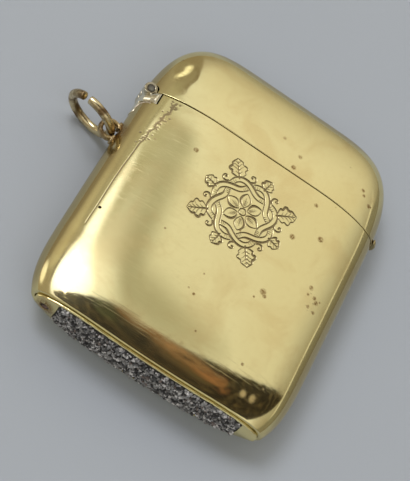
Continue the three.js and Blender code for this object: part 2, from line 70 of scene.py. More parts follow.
def length_prop(name, description, default):
    """A size in metres that a user can change"""
    return bpy.props.FloatProperty(
        name=name, description=description, default=default, unit="LENGTH", precision=5)


def angle_prop(name, description, degrees):
    return bpy.props.FloatProperty(
        name=name, description=description, default=math.radians(degrees), subtype="ANGLE")


def share_prop(name, description, default):
    return bpy.props.FloatProperty(
        name=name, description=description, default=default, min=0.0, max=1.0, subtype="FACTOR")


def colour_prop(name, description, default):
    return bpy.props.FloatVectorProperty(
        name=name, description=description, default=default, size=3, subtype="COLOR")


class CaseForm(bpy.types.PropertyGroup):
    """Driving sizes of the cushion form that body and lid share"""

    width: length_prop("Width", "Width over the narrow sides", BODY_HIGH.x - BODY_LOW.x)
    height: length_prop("Height", "From the corners of the base to the crown", 57 * MM)
    depth: length_prop("Depth", "Thickness in the middle of the case", 11 * MM)
    seat: length_prop("Seat", "Height of the origin over the corners of the base", 28 * MM)
    flat_width: length_prop("Flat width", "Width of the flat between the rolled edges", 14 * MM)
    crown_roll: length_prop("Crown roll", "Length over which the crown turns over", 24 * MM)
    base_roll: length_prop("Base roll", "Length over which the base end thins", 15 * MM)
    base_depth: length_prop("Base depth", "Thickness at the middle of the base edge", 9.1 * MM)
    base_width: length_prop("Base width", "Width between the corners of the base", 41.8 * MM)
    base_bulge: length_prop("Base bulge", "How far the base edge bows out in the middle", 1 * MM)
    corner_power: bpy.props.FloatProperty(
        name="Corner power", description="Squareness of the outline's corners", default=3.5)
    section_power: bpy.props.FloatProperty(
        name="Section power", description="Fullness of the section", default=2.4)
    wall: length_prop("Wall", "Thickness of the sheet", 0.5 * MM)
    seam: length_prop("Seam height", "Height of the body's rim over the corners of the base", 41 * MM)
    seam_gap: length_prop("Seam gap", "Gap between the body's rim and the lid", 0.08 * MM)
    lid_proud: length_prop("Lid proud", "How far the lid stands out over the body", 0.1 * MM)
    rim_round: length_prop("Rim rounding", "Radius worn onto the rims", 0.1 * MM)


class BrassLook(bpy.types.PropertyGroup):
    """Colours and finish of the brass"""

    polished: colour_prop("Polished brass", "Colour of the clean polished sheet", (0.78, 0.69, 0.355))
    warm: colour_prop("Warm brass", "Colour where the polish has dulled", (0.66, 0.51, 0.23))
    patina: colour_prop("Patina", "Dark brown left in cuts and specks", (0.11, 0.065, 0.03))
    aged: colour_prop("Aged brass", "Colour of the ring and its eye", (0.68, 0.57, 0.33))
    polish: share_prop("Roughness", "Roughness of the polished sheet", 0.05)
    haze: share_prop("Haze", "Share of light spread by hairline scratches", 0.08)


class OrnamentForm(bpy.types.PropertyGroup):
    """Place and size of the engraved rosette on the front"""

    centre_x: length_prop("Centre X", "Across the case", 0.4 * MM)
    centre_height: length_prop("Centre height", "Height over the corners of the base", 29.2 * MM)
    radius: length_prop("Radius", "Reach of the longest leaves", 9.5 * MM)
    turn: angle_prop("Turn", "Turn of the ornament on the front", 31)
    cut: length_prop("Cut", "Depth of the deepest cut", 0.055 * MM)


def halved(inside, outside, within):
    """The two sides of a skin, found by halving the way between them"""
    for _ in range(HALVINGS):
        middle = (inside + outside) / 2
        inner = within(middle)
        inside = np.where(inner, middle, inside)
        outside = np.where(inner, outside, middle)
    return inside, outside


class Cushion:
    """The pillow form of body and lid. A grow above zero moves its skin outwards."""

    BASE_CURVE = 1.15
    BASE_GROW = 80

    def __init__(self, form):
        self.form = form
        self.mid = form.depth / 2
        self.flat = form.flat_width / 2
        self.roll = form.width / 2 - self.flat
        self.crown_start = form.height - form.crown_roll

    def crown_share(self, height, grow):
        return np.maximum(0, height - self.crown_start) / (self.form.crown_roll + grow)

    def base_share(self, x, height, grow):
        form = self.form
        power, section = form.corner_power, form.section_power
        middle = (1 - (form.base_depth / form.depth) ** 2) ** (1 / section)
        reach = (form.base_width / 2 - self.flat) / self.roll
        corner = (1 - reach ** power) ** (1 / power)
        share = middle + (corner - middle) * (x / (form.base_width / 2)) ** 2
        down = np.maximum(0, form.base_roll - height) / form.base_roll
        return share * down ** self.BASE_CURVE * (1 - self.BASE_GROW * grow)

    def squareness(self, x, height, grow):
        power = self.form.corner_power
        across = np.maximum(0, np.abs(x) - self.flat) / (self.roll + grow)
        along = np.maximum(self.crown_share(height, grow), self.base_share(x, height, grow))
        return across ** power + along ** power

    def half_depth(self, x, height, grow=0.0):
        share = self.squareness(x, height, grow) ** (self.form.section_power / self.form.corner_power)
        return (self.mid + grow) * np.sqrt(np.maximum(0, 1 - share))

    def half_width(self, height, grow=0.0):
        """Half width of the outline at each height"""
        height = np.asarray(height, float)
        inside = np.zeros_like(height + grow)
        outside = np.full_like(inside, self.flat + self.roll) + grow
        whole = self.squareness(outside, height, grow) <= 1
        edge = halved(inside, outside, lambda x: self.squareness(x, height, grow) < 1)[1]
        return np.where(whole, self.flat + self.roll + grow, edge)

    def bulge(self, x):
        return self.form.base_bulge * np.maximum(0, 1 - (x / (self.form.base_width / 2)) ** 2)

    def across(self, share, limit):
        """X of a column: shares up to 1 lie on the flat, the rest is an angle round the edge"""
        angle = np.clip(np.abs(share) - 1, 0, math.pi / 2)
        rolled = self.flat + (limit - self.flat) * np.sin(angle)
        return np.where(np.abs(share) <= 1, share * self.flat, np.sign(share) * rolled)


def cushion_of(context):
    return Cushion(context.scene.match_case_form)


def stack(x, y, z):
    return np.stack(np.broadcast_arrays(x, y, z), axis=-1)


def ring_faces(rows, columns, close_rows):
    """Quads of a grid whose rows are rings; close_rows joins the last row to the first"""
    row = np.arange(rows if close_rows else rows - 1)[:, None]
    column = np.arange(columns)[None, :]
    up = (row + 1) % rows
    on = (column + 1) % columns
    quads = [row * columns + column, row * columns + on, up * columns + on, up * columns + column]
    return np.stack(np.broadcast_arrays(*quads), axis=-1).reshape(-1, 4)


def tube_faces(rows, columns):
    """Quads of an open tube, with a cap at each end"""
    last = (rows - 1) * columns
    caps = [list(range(columns))[::-1], list(range(last, last + columns))]
    return ring_faces(rows, columns, False).tolist() + caps


def round_angles(count):
    return np.linspace(0, 2 * math.pi, count, endpoint=False)


def outward_normals(points):
    """Unit normals, away from the middle, of a grid whose rows close on themselves"""
    along = np.gradient(points, axis=0)
    across = np.roll(points, -1, axis=1) - np.roll(points, 1, axis=1)
    normal = np.cross(across, along)
    normal /= np.maximum(np.linalg.norm(normal, axis=-1, keepdims=True), 1e-12)
    return normal * np.sign(((points - points.mean((0, 1))) * normal).sum(-1).mean())


def mesh_from(name, points, faces):
    """A mesh object from arrays"""
    mesh = bpy.data.meshes.new(name)
    faces = faces.tolist() if isinstance(faces, np.ndarray) else faces
    mesh.from_pydata(points.reshape(-1, 3).tolist(), [], faces)
    mesh.update()
    piece = bpy.data.objects.new(name, mesh)
    bpy.context.scene.collection.objects.link(piece)
    return piece


def points_of(mesh):
    points = np.zeros(len(mesh.vertices) * 3)
    mesh.vertices.foreach_get("co", points)
    return points.reshape(-1, 3)


def move_points(piece, points):
    piece.data.vertices.foreach_set("co", points.ravel())
    piece.data.update()
    return piece


def store(piece, name, values):
    layer = piece.data.attributes.new(name, "FLOAT", "POINT")
    layer.data.foreach_set("value", values.astype(np.float32).ravel())


def enclosed_volume(mesh):
    mesh.calc_loop_triangles()
    index = np.zeros(len(mesh.loop_triangles) * 3, int)
    mesh.loop_triangles.foreach_get("vertices", index)
    a, b, c = points_of(mesh)[index.reshape(-1, 3)].transpose(1, 0, 2)
    return float((a * np.cross(b, c)).sum() / 6)


def face_out(piece):
    if enclosed_volume(piece.data) < 0:
        piece.data.flip_normals()
    return piece


def smooth(piece, sharp_degrees):
    """Smooth shading, with edges sharper than the angle left crisp"""
    piece.data.polygons.foreach_set("use_smooth", [True] * len(piece.data.polygons))
    piece.data.set_sharp_from_angle(angle=math.radians(sharp_degrees))
    piece.data.update()
    return piece


def applied(piece):
    """The piece with its modifiers made real"""
    bpy.context.view_layer.update()
    graph = bpy.context.evaluated_depsgraph_get()
    mesh = bpy.data.meshes.new_from_object(piece.evaluated_get(graph))
    old = piece.data
    piece.modifiers.clear()
    piece.data = mesh
    mesh.name = piece.name
    bpy.data.meshes.remove(old)
    return piece


def weld(piece, distance):
    joined = piece.modifiers.new("weld", "WELD")
    joined.merge_threshold = distance
    return applied(piece)


def cut_away(piece, *cutters):
    for cutter in cutters:
        cut = piece.modifiers.new("cut", "BOOLEAN")
        cut.operation = "DIFFERENCE"
        cut.solver = "MANIFOLD"
        cut.object = cutter
    applied(piece)
    for cutter in cutters:
        bpy.data.objects.remove(cutter)
    return piece


def prism(name, outline, low, high, axis="z"):
    """A straight solid over a closed outline, run along Z, or along X for an outline of Y and Z"""
    count = len(outline)
    first, second = np.asarray(outline).T
    ends = []
    for place in (low, high):
        level = np.full(count, place)
        ends.append(stack(first, second, level) if axis == "z" else stack(level, first, second))
    sides = [[k, (k + 1) % count, count + (k + 1) % count, count + k] for k in range(count)]
    caps = [list(range(count))[::-1], list(range(count, 2 * count))]
    return face_out(mesh_from(name, np.concatenate(ends), sides + caps))


def circle_outline(x, y, radius, count):
    angle = round_angles(count)
    return np.stack([x + radius * np.cos(angle), y + radius * np.sin(angle)], -1)


def finish_piece(piece, body, slot, looks, *nodes):
    """Materials and body of a piece that stands for CAD nodes, which it hides; the slot is not used"""
    piece.data.materials.clear()
    for look in looks:
        piece.data.materials.append(look)
    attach(piece, body)
    if nodes:
        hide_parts(*nodes)
    return piece


class Cut:
    """A cut of the graver: points in millimetres, the half width at each, and a share of full depth"""

    FULL_WIDTH = 0.16

    def __init__(self, points, half_width, depth=1.0):
        self.points = np.asarray(points, float)
        self.half_width = np.broadcast_to(np.asarray(half_width, float), len(self.points))
        self.depth = depth

    def nearness(self, spots):
        """Distance to the cut's middle line over its half width there"""
        best = np.full(len(spots), np.inf)
        ends = zip(self.points[:-1], self.points[1:], self.half_width[:-1], self.half_width[1:])
        for start, end, first, last in ends:
            run = end - start
            share = np.clip(((spots - start) @ run) / max(float(run @ run), 1e-12), 0, 1)
            gap = spots - start - share[:, None] * run
            best = np.minimum(best, np.sqrt((gap * gap).sum(1)) / (first + (last - first) * share))
        return best


def polar(radius, angle):
    return np.stack([radius * np.cos(angle), radius * np.sin(angle)], -1)


def turned(points, angle):
    cos, sin = math.cos(angle), math.sin(angle)
    return points @ np.array([[cos, sin], [-sin, cos]])


def swelling(count, thin, thick):
    """Half widths of a stroke that starts and ends fine, as a graver cuts it"""
    return thin + (thick - thin) * np.sin(np.linspace(0, math.pi, count))


def petal_cuts(angle, inner, outer, half_width):
    """An almond petal, one side cut broad, with a vein and shading at its foot"""
    share = np.linspace(0, 1, 24)
    along = inner + (outer - inner) * share
    side = half_width * np.sin(share * math.pi) ** 0.8
    cuts = [
        Cut(turned(np.stack([along, side], -1), angle), swelling(24, 0.07, 0.25)),
        Cut(turned(np.stack([along, -side], -1), angle), swelling(24, 0.06, 0.13)),
    ]
    vein = np.stack([np.linspace(inner + 0.2, outer - 0.8, 8), np.zeros(8)], -1)
    cuts.append(Cut(turned(vein, angle), swelling(8, 0.05, 0.1), 0.7))
    for offset in (-0.3, -0.1, 0.12, 0.32):
        hatch = np.array([[inner + 0.4, offset * 0.5], [inner + 0.9, offset * 0.8], [inner + 1.4, offset]])
        cuts.append(Cut(turned(hatch, angle), [0.1, 0.07, 0.03], 0.7))
    return cuts


def leaf_cuts(angle, foot, tip, half_width, lobes):
    """A lobed leaf: a broad shaded edge, a fine edge, a midrib and side veins"""
    share = np.linspace(0, 1, 72)
    scallop = 1 - 0.26 * np.abs(np.cos(share * math.pi * lobes)) ** 3
    side = half_width * np.sin(share ** 0.85 * math.pi) ** 0.85 * (1.15 * scallop)
    along = foot + (tip - foot) * share
    cuts = []
    for sign, thick in ((-1, 0.13), (1, 0.26)):
        edge = np.stack([along, sign * side], -1)
        cuts.append(Cut(turned(edge, angle), swelling(72, 0.06, thick)))
        for vein in np.linspace(0.18, 0.74, lobes + 1):
            start = foot + (tip - foot) * vein
            reach = half_width * math.sin(vein ** 0.85 * math.pi) * 0.75
            bend = [start + reach * 0.5, sign * reach * 0.5]
            line = np.array([[start, 0], bend, [start + reach * 0.75, sign * reach]])
            cuts.append(Cut(turned(line, angle), [0.11, 0.08, 0.04], 0.8))
    midrib = np.stack([np.linspace(foot - 0.1, tip - 0.25, 12), np.zeros(12)], -1)
    cuts.append(Cut(turned(midrib, angle), np.linspace(0.2, 0.05, 12), 0.9))
    return cuts


def ribbon_cuts(radius, swing, lobes, phase, hidden):
    """One of two woven ribbons: it dips under the other at every second crossing, shaded beside it"""
    cuts = []
    step = math.pi / lobes
    for crossing in range(hidden, 2 * lobes, 2):
        middle = step * (crossing + 0.5)
        angle = np.linspace(middle + 0.11, middle + 2 * step - 0.11, 64)
        path = polar(radius + swing * np.cos(lobes * angle + phase), angle)
        run = np.gradient(path, axis=0)
        normal = np.stack([run[:, 1], -run[:, 0]], -1)
        normal /= np.linalg.norm(normal, axis=1, keepdims=True)
        cuts.append(Cut(path + 0.42 * normal, swelling(64, 0.09, 0.22)))
        cuts.append(Cut(path - 0.42 * normal, swelling(64, 0.09, 0.14)))
        for place, reach in ((1, 0.3), (4, 0.2), (7, 0.08), (56, 0.08), (59, 0.2), (62, 0.3)):
            ends = np.array([path[place] - 0.38 * normal[place], path[place] + reach * normal[place]])
            cuts.append(Cut(ends, [0.1, 0.05], 0.8))
    return cuts


def scroll_cuts(angle, side, radius):
    """A tendril that leaves the ribbon ring and curls up beside a leaf"""
    turns = np.linspace(0, 1.55 * math.pi, 40)
    curl = 0.78 * (1 - turns / (2.2 * math.pi))
    middle = radius + 0.75
    line = np.stack([
        middle + curl * np.cos(math.pi + turns),
        side * (curl * np.sin(math.pi + turns) * -1),
    ], -1)
    bead = np.array([[middle, 0], [radius + 0.8, 0.03]])
    return [Cut(turned(line, angle), np.linspace(0.2, 0.07, 40)), Cut(turned(bead, angle), 0.2)]


def rosette_cuts():
    """A daisy in a woven ribbon ring, with leaves and curled tendrils round it"""
    cuts = []
    for petal in range(6):
        cuts += petal_cuts(math.radians(60 * petal + 10), inner=0.85, outer=3.35, half_width=0.85)
    cuts.append(Cut(polar(0.6, np.linspace(0, 2 * math.pi, 26)), 0.13))
    seeds = np.array([[0.0, 0.0], [0.28, 0.05], [-0.2, 0.2], [-0.1, -0.27], [0.15, -0.2]])
    for seed in turned(seeds, 0.4):
        cuts.append(Cut([seed, seed + 0.02], 0.1, 0.7))
    for ribbon in (0, 1):
        cuts += ribbon_cuts(radius=4.75, swing=0.85, lobes=4, phase=math.pi * ribbon, hidden=ribbon)
    for spray in range(4):
        quarter = math.radians(90 * spray)
        cuts += leaf_cuts(quarter, foot=5.9, tip=9.3, half_width=1.35, lobes=3)
        cuts += leaf_cuts(quarter + math.pi / 4, foot=5.9, tip=8.0, half_width=1.0, lobes=2)
        for side in (1, -1):
            cuts += scroll_cuts(quarter + side * math.radians(21), side, radius=5.6)
    return cuts


# In millimetres: X and height along the creased line beside the hinge edge; X, height and radius of pits
CREASE = [
    (-17.5, 40.3), (-17.8, 39.2), (-17.6, 38.2), (-18.2, 37.3), (-18.1, 36.2), (-18.6, 35.2),
    (-18.4, 34.1), (-18.9, 33.2), (-18.8, 31.8), (-19.2, 30.4), (-19.3, 28.0), (-19.5, 25.0),
    (-19.6, 21.5), (-19.6, 17.5), (-19.7, 13.0),
]
CREASE_PITS = 52
CREASE_PITTED = 9
MARK_SEED = 23
PITS = [
    (-17.7, 12.2, 0.1), (-14.6, 30.6, 0.09), (16.5, 24.2, 0.12), (17.6, 23.0, 0.14), (18.0, 21.7, 0.12),
    (17.2, 21.4, 0.1), (16.4, 21.9, 0.1), (13.9, 33.3, 0.13), (10.6, 38.3, 0.1), (-20.6, 33.5, 0.1),
]


def wear_marks():
    """The creased line, the small pits along its upper part and the single pits"""
    line = np.array(CREASE)
    marks = [Cut(line, np.linspace(0.24, 0.08, len(line)), 0.95)]
    chance = np.random.default_rng(MARK_SEED)
    for _ in range(CREASE_PITS):
        share = chance.uniform() ** 1.5
        place = line[0] + (line[CREASE_PITTED] - line[0]) * share + chance.normal(size=2) * [0.42, 0.3]
        reach = chance.uniform(0.03, 0.14)
        ends = [place, place + chance.normal(size=2) * reach]
        marks.append(Cut(ends, chance.uniform(0.12, 0.28), chance.uniform(0.55, 1.0)))
    for x, height, radius in PITS:
        marks.append(Cut([(x, height), (x + 0.12, height - 0.1)], radius, 0.45))
    return marks


# In half widths of a cut: how far it is looked for, the slope of its side, and its burr
CUT_REACH, CUT_SLOPE, BURR_PLACE, BURR_WIDTH = 2.2, 1.6, 1.3, 0.3


def engraving_depth(spots, cuts):
    """Share of the full cut at each spot in millimetres, and the burr raised beside the cuts"""
    depth = np.zeros(len(spots))
    burr = np.zeros(len(spots))
    for cut in cuts:
        broad = cut.half_width.max()
        low, high = cut.points.min(0) - CUT_REACH * broad, cut.points.max(0) + CUT_REACH * broad
        near = np.flatnonzero(((spots > low) & (spots < high)).all(1))
        if not len(near):
            continue
        gap = cut.nearness(spots[near])
        share = cut.depth * min(1.0, broad / cut.FULL_WIDTH)
        depth[near] = np.maximum(depth[near], share * np.clip(CUT_SLOPE * (1 - gap), 0, 1))
        burr[near] = np.maximum(burr[near], share * np.exp(-((gap - BURR_PLACE) / BURR_WIDTH) ** 2))
    return depth, burr


ROSETTE_FIELD = 10 * MM
ROSETTE_REACH = 9.3
BURR_SHARE = 0.1
WEAR_SHARE = 0.25


def engrave_front(x, up, front, ornament):
    """Relief of the rosette and of the wear marks beside its field, and how far each point is cut"""
    cut, burr = np.zeros(x.shape), np.zeros(x.shape)
    spots = (np.stack([x, up], -1) / MM).reshape(-1, 2)
    near = np.abs(x - ornament.centre_x) < ROSETTE_FIELD
    field = np.flatnonzero(front & near)
    local = spots[field] - np.array([ornament.centre_x, ornament.centre_height]) / MM
    local = turned(local, -ornament.turn) * ROSETTE_REACH * MM / ornament.radius
    cut.flat[field], burr.flat[field] = engraving_depth(local, rosette_cuts())
    relief = ornament.cut * (BURR_SHARE * burr * (cut == 0) - cut)
    field = np.flatnonzero(front & ~near)
    marks = engraving_depth(spots[field], wear_marks())[0]
    relief.flat[field] = -WEAR_SHARE * ornament.cut * marks
    cut.flat[field] = marks
    return relief, cut


# Shallow round dents in millimetres: X, Y, Z, radius and depth
BODY_DENTS = [
    (-6.0, -24.8, 10.2, 2.0, 0.015), (9.5, -24.0, 10.2, 2.2, 0.015), (18.5, -8.0, 8.8, 3.2, 0.03),
    (-16.2, 5.0, 9.8, 3.2, 0.07), (-15.8, 12.0, 9.9, 3.4, 0.09), (-20.6, -17.0, 8.2, 1.6, 0.04),
]
LID_DENTS = [
    (-15.2, 16.2, 9.6, 2.0, 0.07), (-14.2, 20.0, 9.2, 2.4, 0.07), (-12.2, 24.0, 8.4, 2.2, 0.05),
    (-19.4, 19.6, 7.4, 1.5, 0.10), (5.5, 23.5, 8.8, 4.0, 0.04), (17.0, 17.5, 8.2, 3.0, 0.04),
]
WAVES = 14
WAVE_HEIGHT = 0.016 * MM
SHORTEST_WAVE = 9 * MM


def carried_wear(points, seed, longest, dents):
    """How far slow waves and dents move each point of a thin sheet that was carried for years"""
    chance = np.random.default_rng(seed)
    total = np.zeros(points.shape[:-1])
    for _ in range(WAVES):
        heading = chance.normal(size=3)
        heading /= np.linalg.norm(heading)
        length = chance.uniform(SHORTEST_WAVE, longest)
        phase = chance.uniform(0, 2 * math.pi)
        total += np.cos(points @ heading * 2 * math.pi / length + phase) * (length / longest)
    total *= WAVE_HEIGHT
    total /= math.sqrt(WAVES)
    hollows = np.zeros(points.shape[:-1])
    for x, y, z, radius, depth in dents:
        gap = points - np.array([x, y, z]) * MM
        hollows -= depth * MM * np.exp(-(gap * gap).sum(-1) / (radius * MM) ** 2)
    return total + hollows


def side_shares(fine, fine_reach, coarse, close=None):
    """Column shares from the flat's edge round to the narrow side, crowded again between two angles"""
    closing, finest, opening = 0.8, 0.008, 1.12
    shares = [0.0]
    step = fine
    while shares[-1] < math.pi / 2:
        if close and close[0] < shares[-1] < close[1]:
            step = max(step * closing, finest)
        elif shares[-1] > fine_reach:
            step = min(step * opening, coarse)
        shares.append(shares[-1] + step)
    return 1 + np.minimum(np.array(shares[1:]), math.pi / 2)


def rim_rows(edge, rounding, grow, outward, steps):
    """Heights and grows of a quarter round at a rim; outward is +1 on an upper rim"""
    angle = np.linspace(0, math.pi / 2, steps)
    heights = edge - outward * rounding * (1 - np.sin(angle))
    grows = grow - rounding * (1 - np.cos(angle))
    return heights, grows


def body_profile(form):
    """Rows of the body's wall: up the outside, close together under the ornament, over the rim, down"""
    rounding, top, inner = form.rim_round, form.seam, -form.wall
    low_height, low_grow = rim_rows(0.0, rounding, 0.0, -1, 5)
    high_height, high_grow = rim_rows(top, rounding, 0.0, 1, 5)
    field_low, field_high, fine = 20 * MM, 38.6 * MM, 0.068 * MM
    outside = np.concatenate([
        np.arange(rounding + 0.2 * MM, 15 * MM, 0.24 * MM),
        np.arange(15 * MM, field_low, 0.3 * MM),
        np.arange(field_low, field_high, fine),
        np.linspace(38.7 * MM, top - rounding, 18)[:-1],
    ])
    inside = np.linspace(top - rounding, rounding, 16)[1:-1]
    over_height, over_grow = rim_rows(top, rounding, inner, 1, 4)
    under_height, under_grow = rim_rows(0.0, rounding, inner, -1, 4)
    heights = np.concatenate([
        low_height[::-1], outside, high_height, over_height[::-1], inside, under_height])
    grows = np.concatenate([
        low_grow[::-1], np.zeros(len(outside)), high_grow,
        2 * inner - over_grow[::-1], np.full(len(inside), inner), 2 * inner - under_grow,
    ])
    outer = np.arange(len(heights)) < len(low_height) + len(outside) + len(high_height)
    return heights, grows, outer


def body_columns():
    """Shares and sides of the columns round the body, fine under the ornament"""
    fine = np.linspace(-1, 1, 208)
    edge = side_shares(fine=0.0043, fine_reach=0.22, coarse=0.03)
    hinge_edge = side_shares(fine=0.0043, fine_reach=0.22, coarse=0.03, close=(0.64, 0.94))
    front = np.concatenate([-hinge_edge[::-1], fine, edge])
    edge = side_shares(fine=0.03, fine_reach=0.1, coarse=0.05)
    back = np.concatenate([edge[:-1][::-1], np.linspace(1, -1, 22), -edge[:-1]])
    return np.concatenate([front, back]), np.concatenate([np.ones(len(front)), -np.ones(len(back))])


def build_body(context):
    """The body shell, worn and engraved, with room for the hinge leaf and the cross pin"""
    case = cushion_of(context)
    form = case.form
    heights, grows, outer = body_profile(form)
    shares, sides = body_columns()
    height, grow = heights[:, None], grows[:, None]
    x = case.across(shares[None, :], case.half_width(heights, grows)[:, None])
    bow = np.maximum(0, 1 - height / form.base_roll)
    up = height - bow * case.bulge(x)
    z = case.mid + sides * case.half_depth(x, up, grow)
    points = stack(x, up - form.seat, z)
    wear = carried_wear(points, seed=5, longest=26 * MM, dents=BODY_DENTS)
    flat_back, wear_begins = 0.6 * MM, 1.5 * MM
    quiet = np.clip((points[..., 2] - flat_back) / wear_begins, 0, 1)
    front = (sides > 0)[None, :] & outer[:, None]
    relief, cut = engrave_front(x, up, front, context.scene.match_case_ornament)
    shift = wear * quiet * outer[:, None] + relief
    points = points + outward_normals(points) * shift[..., None]
    piece = face_out(mesh_from("body_shell", points, ring_faces(len(heights), len(shares), True)))
    store(piece, "engraved", cut)
    inside = np.repeat(~outer, len(shares))
    piece.data.polygons.foreach_set("material_index", inside.astype(int))
    notch = prism("notch", leaf_notch(form), -form.width / 2 - 2 * MM, LEAF_EDGE + LEAF_ROOM, axis="x")
    radius = (SPRING_PIN_HIGH.x - SPRING_PIN_LOW.x) / 2 + PIN_ROOM
    outline = circle_outline(SPRING_PIN.x, SPRING_PIN.y, radius, 24)
    return cut_away(piece, notch, prism("pin_hole", outline, -form.depth, 2 * form.depth))


def leaf_notch(form):
    """Side view of the hinge leaf's notch: full depth above, a round-ended tongue below"""
    seam, mid = form.seam - form.seat, form.depth / 2
    floor = seam - 2.3 * MM
    foot = floor - 2.5 * MM
    half = 1.2 * MM
    corner = half / 2
    turn = np.linspace(math.pi / 2, math.pi, 10)
    upper = np.stack([foot + corner + corner * np.cos(turn), mid + corner + corner * np.sin(turn)], -1)
    lower = upper[::-1] * [1, -1] + [0, 2 * mid]
    top = [[seam + 1 * MM, mid + form.depth], [floor, mid + form.depth], [floor, mid + half]]
    bottom = [[floor, mid - half], [floor, mid - form.depth], [seam + 1 * MM, mid - form.depth]]
    return np.concatenate([top, upper, lower, bottom])


def lid_skin(case, grow, up, across, start):
    """Points over the lid: rays from the middle of its seam, drawn close together near the outline"""
    form = case.form
    near = np.maximum(np.maximum(np.abs(across), up), 1e-9)
    run_x = across / near * (form.width / 2 + grow)
    run_up = up / near * (form.height + grow - start)

    def within(share):
        x = run_x * share
        square = case.squareness(x, start + run_up * share, grow)
        return (square < 1) & (np.abs(x) <= case.flat + case.roll + grow)

    reach = halved(np.zeros_like(near), np.full_like(near, 1.5), within)[0]
    share = reach * np.sin(near * math.pi / 2)
    return run_x * share, start + run_up * share


def build_lid(context):
    """The lid shell, worn, with room for the knuckles"""
    case = cushion_of(context)
    form = case.form
    rounding = form.rim_round
    start = form.seam + form.seam_gap + rounding
    across = np.linspace(-1, 1, 181)
    ring = np.concatenate([across, across[-2:0:-1]])
    sides = np.concatenate([np.ones(len(across)), -np.ones(len(across) - 2)])
    levels = np.concatenate([[0.0], np.linspace(0.004, 1, 120)])

    def row_at(x, height, grow):
        return stack(x, height - form.seat, case.mid + sides * case.half_depth(x, height, grow))

    def skin_row(level, grow):
        return row_at(*lid_skin(case, grow, np.full(ring.shape, level), ring, start), grow)

    def rim_row(height, grow):
        x, _ = lid_skin(case, grow, np.zeros(ring.shape), ring, start)
        x = x * case.half_width(np.array([height]), grow) / np.abs(x).max()
        return row_at(x, np.full(ring.shape, height), grow)

    outer_grow, inner_grow = form.lid_proud, form.lid_proud - form.wall
    outer = np.array([skin_row(level, outer_grow) for level in levels[::-1]])
    out_heights, out_grows = rim_rows(start - rounding, rounding, outer_grow, -1, 5)
    in_heights, in_grows = rim_rows(start - rounding, rounding, inner_grow, -1, 4)
    rim = [rim_row(*row) for row in zip(out_heights[1:], out_grows[1:])]
    rim += [rim_row(*row) for row in zip(in_heights[::-1], 2 * inner_grow - in_grows[::-1])]
    inner = [skin_row(level, inner_grow) for level in np.append(levels[3:-4:4], 1.0)]
    wear = carried_wear(outer, seed=8, longest=24 * MM, dents=LID_DENTS)
    quiet = np.clip(np.abs(outer[..., 2] - case.mid) / (2 * MM), 0, 1)
    outer += outward_normals(outer) * (wear * quiet)[..., None]
    points = np.concatenate([outer, rim, inner])
    piece = mesh_from("lid_shell", points, ring_faces(len(points), len(ring), False))
    face_out(weld(piece, WELD_REACH))
    outline = circle_outline(HINGE_AXIS.x, HINGE_AXIS.y, KNUCKLE_ROOM, 40)
    cut_away(piece, prism("knuckle_room", outline, -form.depth, 2 * form.depth))
    return mark_inside(piece, case, form.lid_proud - form.wall / 2)


def mark_inside(piece, case, grow):
    """Second material on faces whose middle lies under the sheet's middle skin"""
    middles = np.zeros(len(piece.data.polygons) * 3)
    piece.data.polygons.foreach_get("center", middles)
    x, y, z = middles.reshape(-1, 3).T
    inside = np.abs(z - case.mid) < case.half_depth(x, y + case.form.seat, grow)
    piece.data.polygons.foreach_set("material_index", inside.astype(int))
    return piece


def shading(name):
    """A new node material: itself, its tree and its shader"""
    look = bpy.data.materials.new(name)
    look.use_nodes = True
    tree = look.node_tree
    tree.nodes.clear()
    output = tree.nodes.new("ShaderNodeOutputMaterial")
    shader = tree.nodes.new("ShaderNodeBsdfPrincipled")
    tree.links.new(shader.outputs["BSDF"], output.inputs["Surface"])
    return look, tree, shader


def feed(tree, socket, value):
    """Link a socket to another one, or set its value"""
    if isinstance(value, bpy.types.NodeSocket):
        tree.links.new(value, socket)
    else:
        socket.default_value = value


def node(tree, kind, inputs=None, **settings):
    made = tree.nodes.new(kind)
    for key, value in settings.items():
        setattr(made, key, value)
    for key, value in (inputs or {}).items():
        feed(tree, made.inputs[key], value)
    return made


def vector_node(tree, operation, first, second=(0, 0, 0)):
    return node(tree, "ShaderNodeVectorMath", {0: first, 1: second}, operation=operation).outputs


def attribute(tree, name):
    return node(tree, "ShaderNodeAttribute", attribute_name=name).outputs["Fac"]


def millimetres(tree, scale=(1, 1, 1), turn=0.0):
    """Object coordinates in millimetres, stretched and turned about Z"""
    return node(tree, "ShaderNodeMapping", {
        "Vector": node(tree, "ShaderNodeTexCoord").outputs["Object"],
        "Scale": [share / MM for share in scale], "Rotation": (0, 0, turn),
    }).outputs["Vector"]


def noise(tree, vector, scale, detail=3.0, roughness=0.5, distortion=0.0):
    return node(tree, "ShaderNodeTexNoise", {
        "Vector": vector, "Scale": scale, "Detail": detail,
        "Roughness": roughness, "Distortion": distortion,
    }).outputs["Fac"]


def ramp(tree, value, low, high):
    """0 below low, 1 above high, with a soft step between"""
    return node(tree, "ShaderNodeMapRange", {
        "Value": value, "From Min": low, "From Max": high,
    }, interpolation_type="SMOOTHSTEP").outputs["Result"]


def reckon(tree, operation, *values):
    """The first value with each of the others brought in by one operation"""
    total = values[0]
    for value in values[1:]:
        total = node(tree, "ShaderNodeMath", {0: total, 1: value}, operation=operation).outputs["Value"]
    return total


def times(tree, *values):
    return reckon(tree, "MULTIPLY", *values)


def plus(tree, *values):
    return reckon(tree, "ADD", *values)


def most(tree, *values):
    return reckon(tree, "MAXIMUM", *values)


def rest_of(tree, mask):
    return reckon(tree, "SUBTRACT", 1.0, mask)


def blend_colour(tree, share, first, second):
    first, second = (
        value if isinstance(value, bpy.types.NodeSocket) else (*value, 1) for value in (first, second))
    return node(tree, "ShaderNodeMix", {0: share, 6: first, 7: second}, data_type="RGBA").outputs[2]


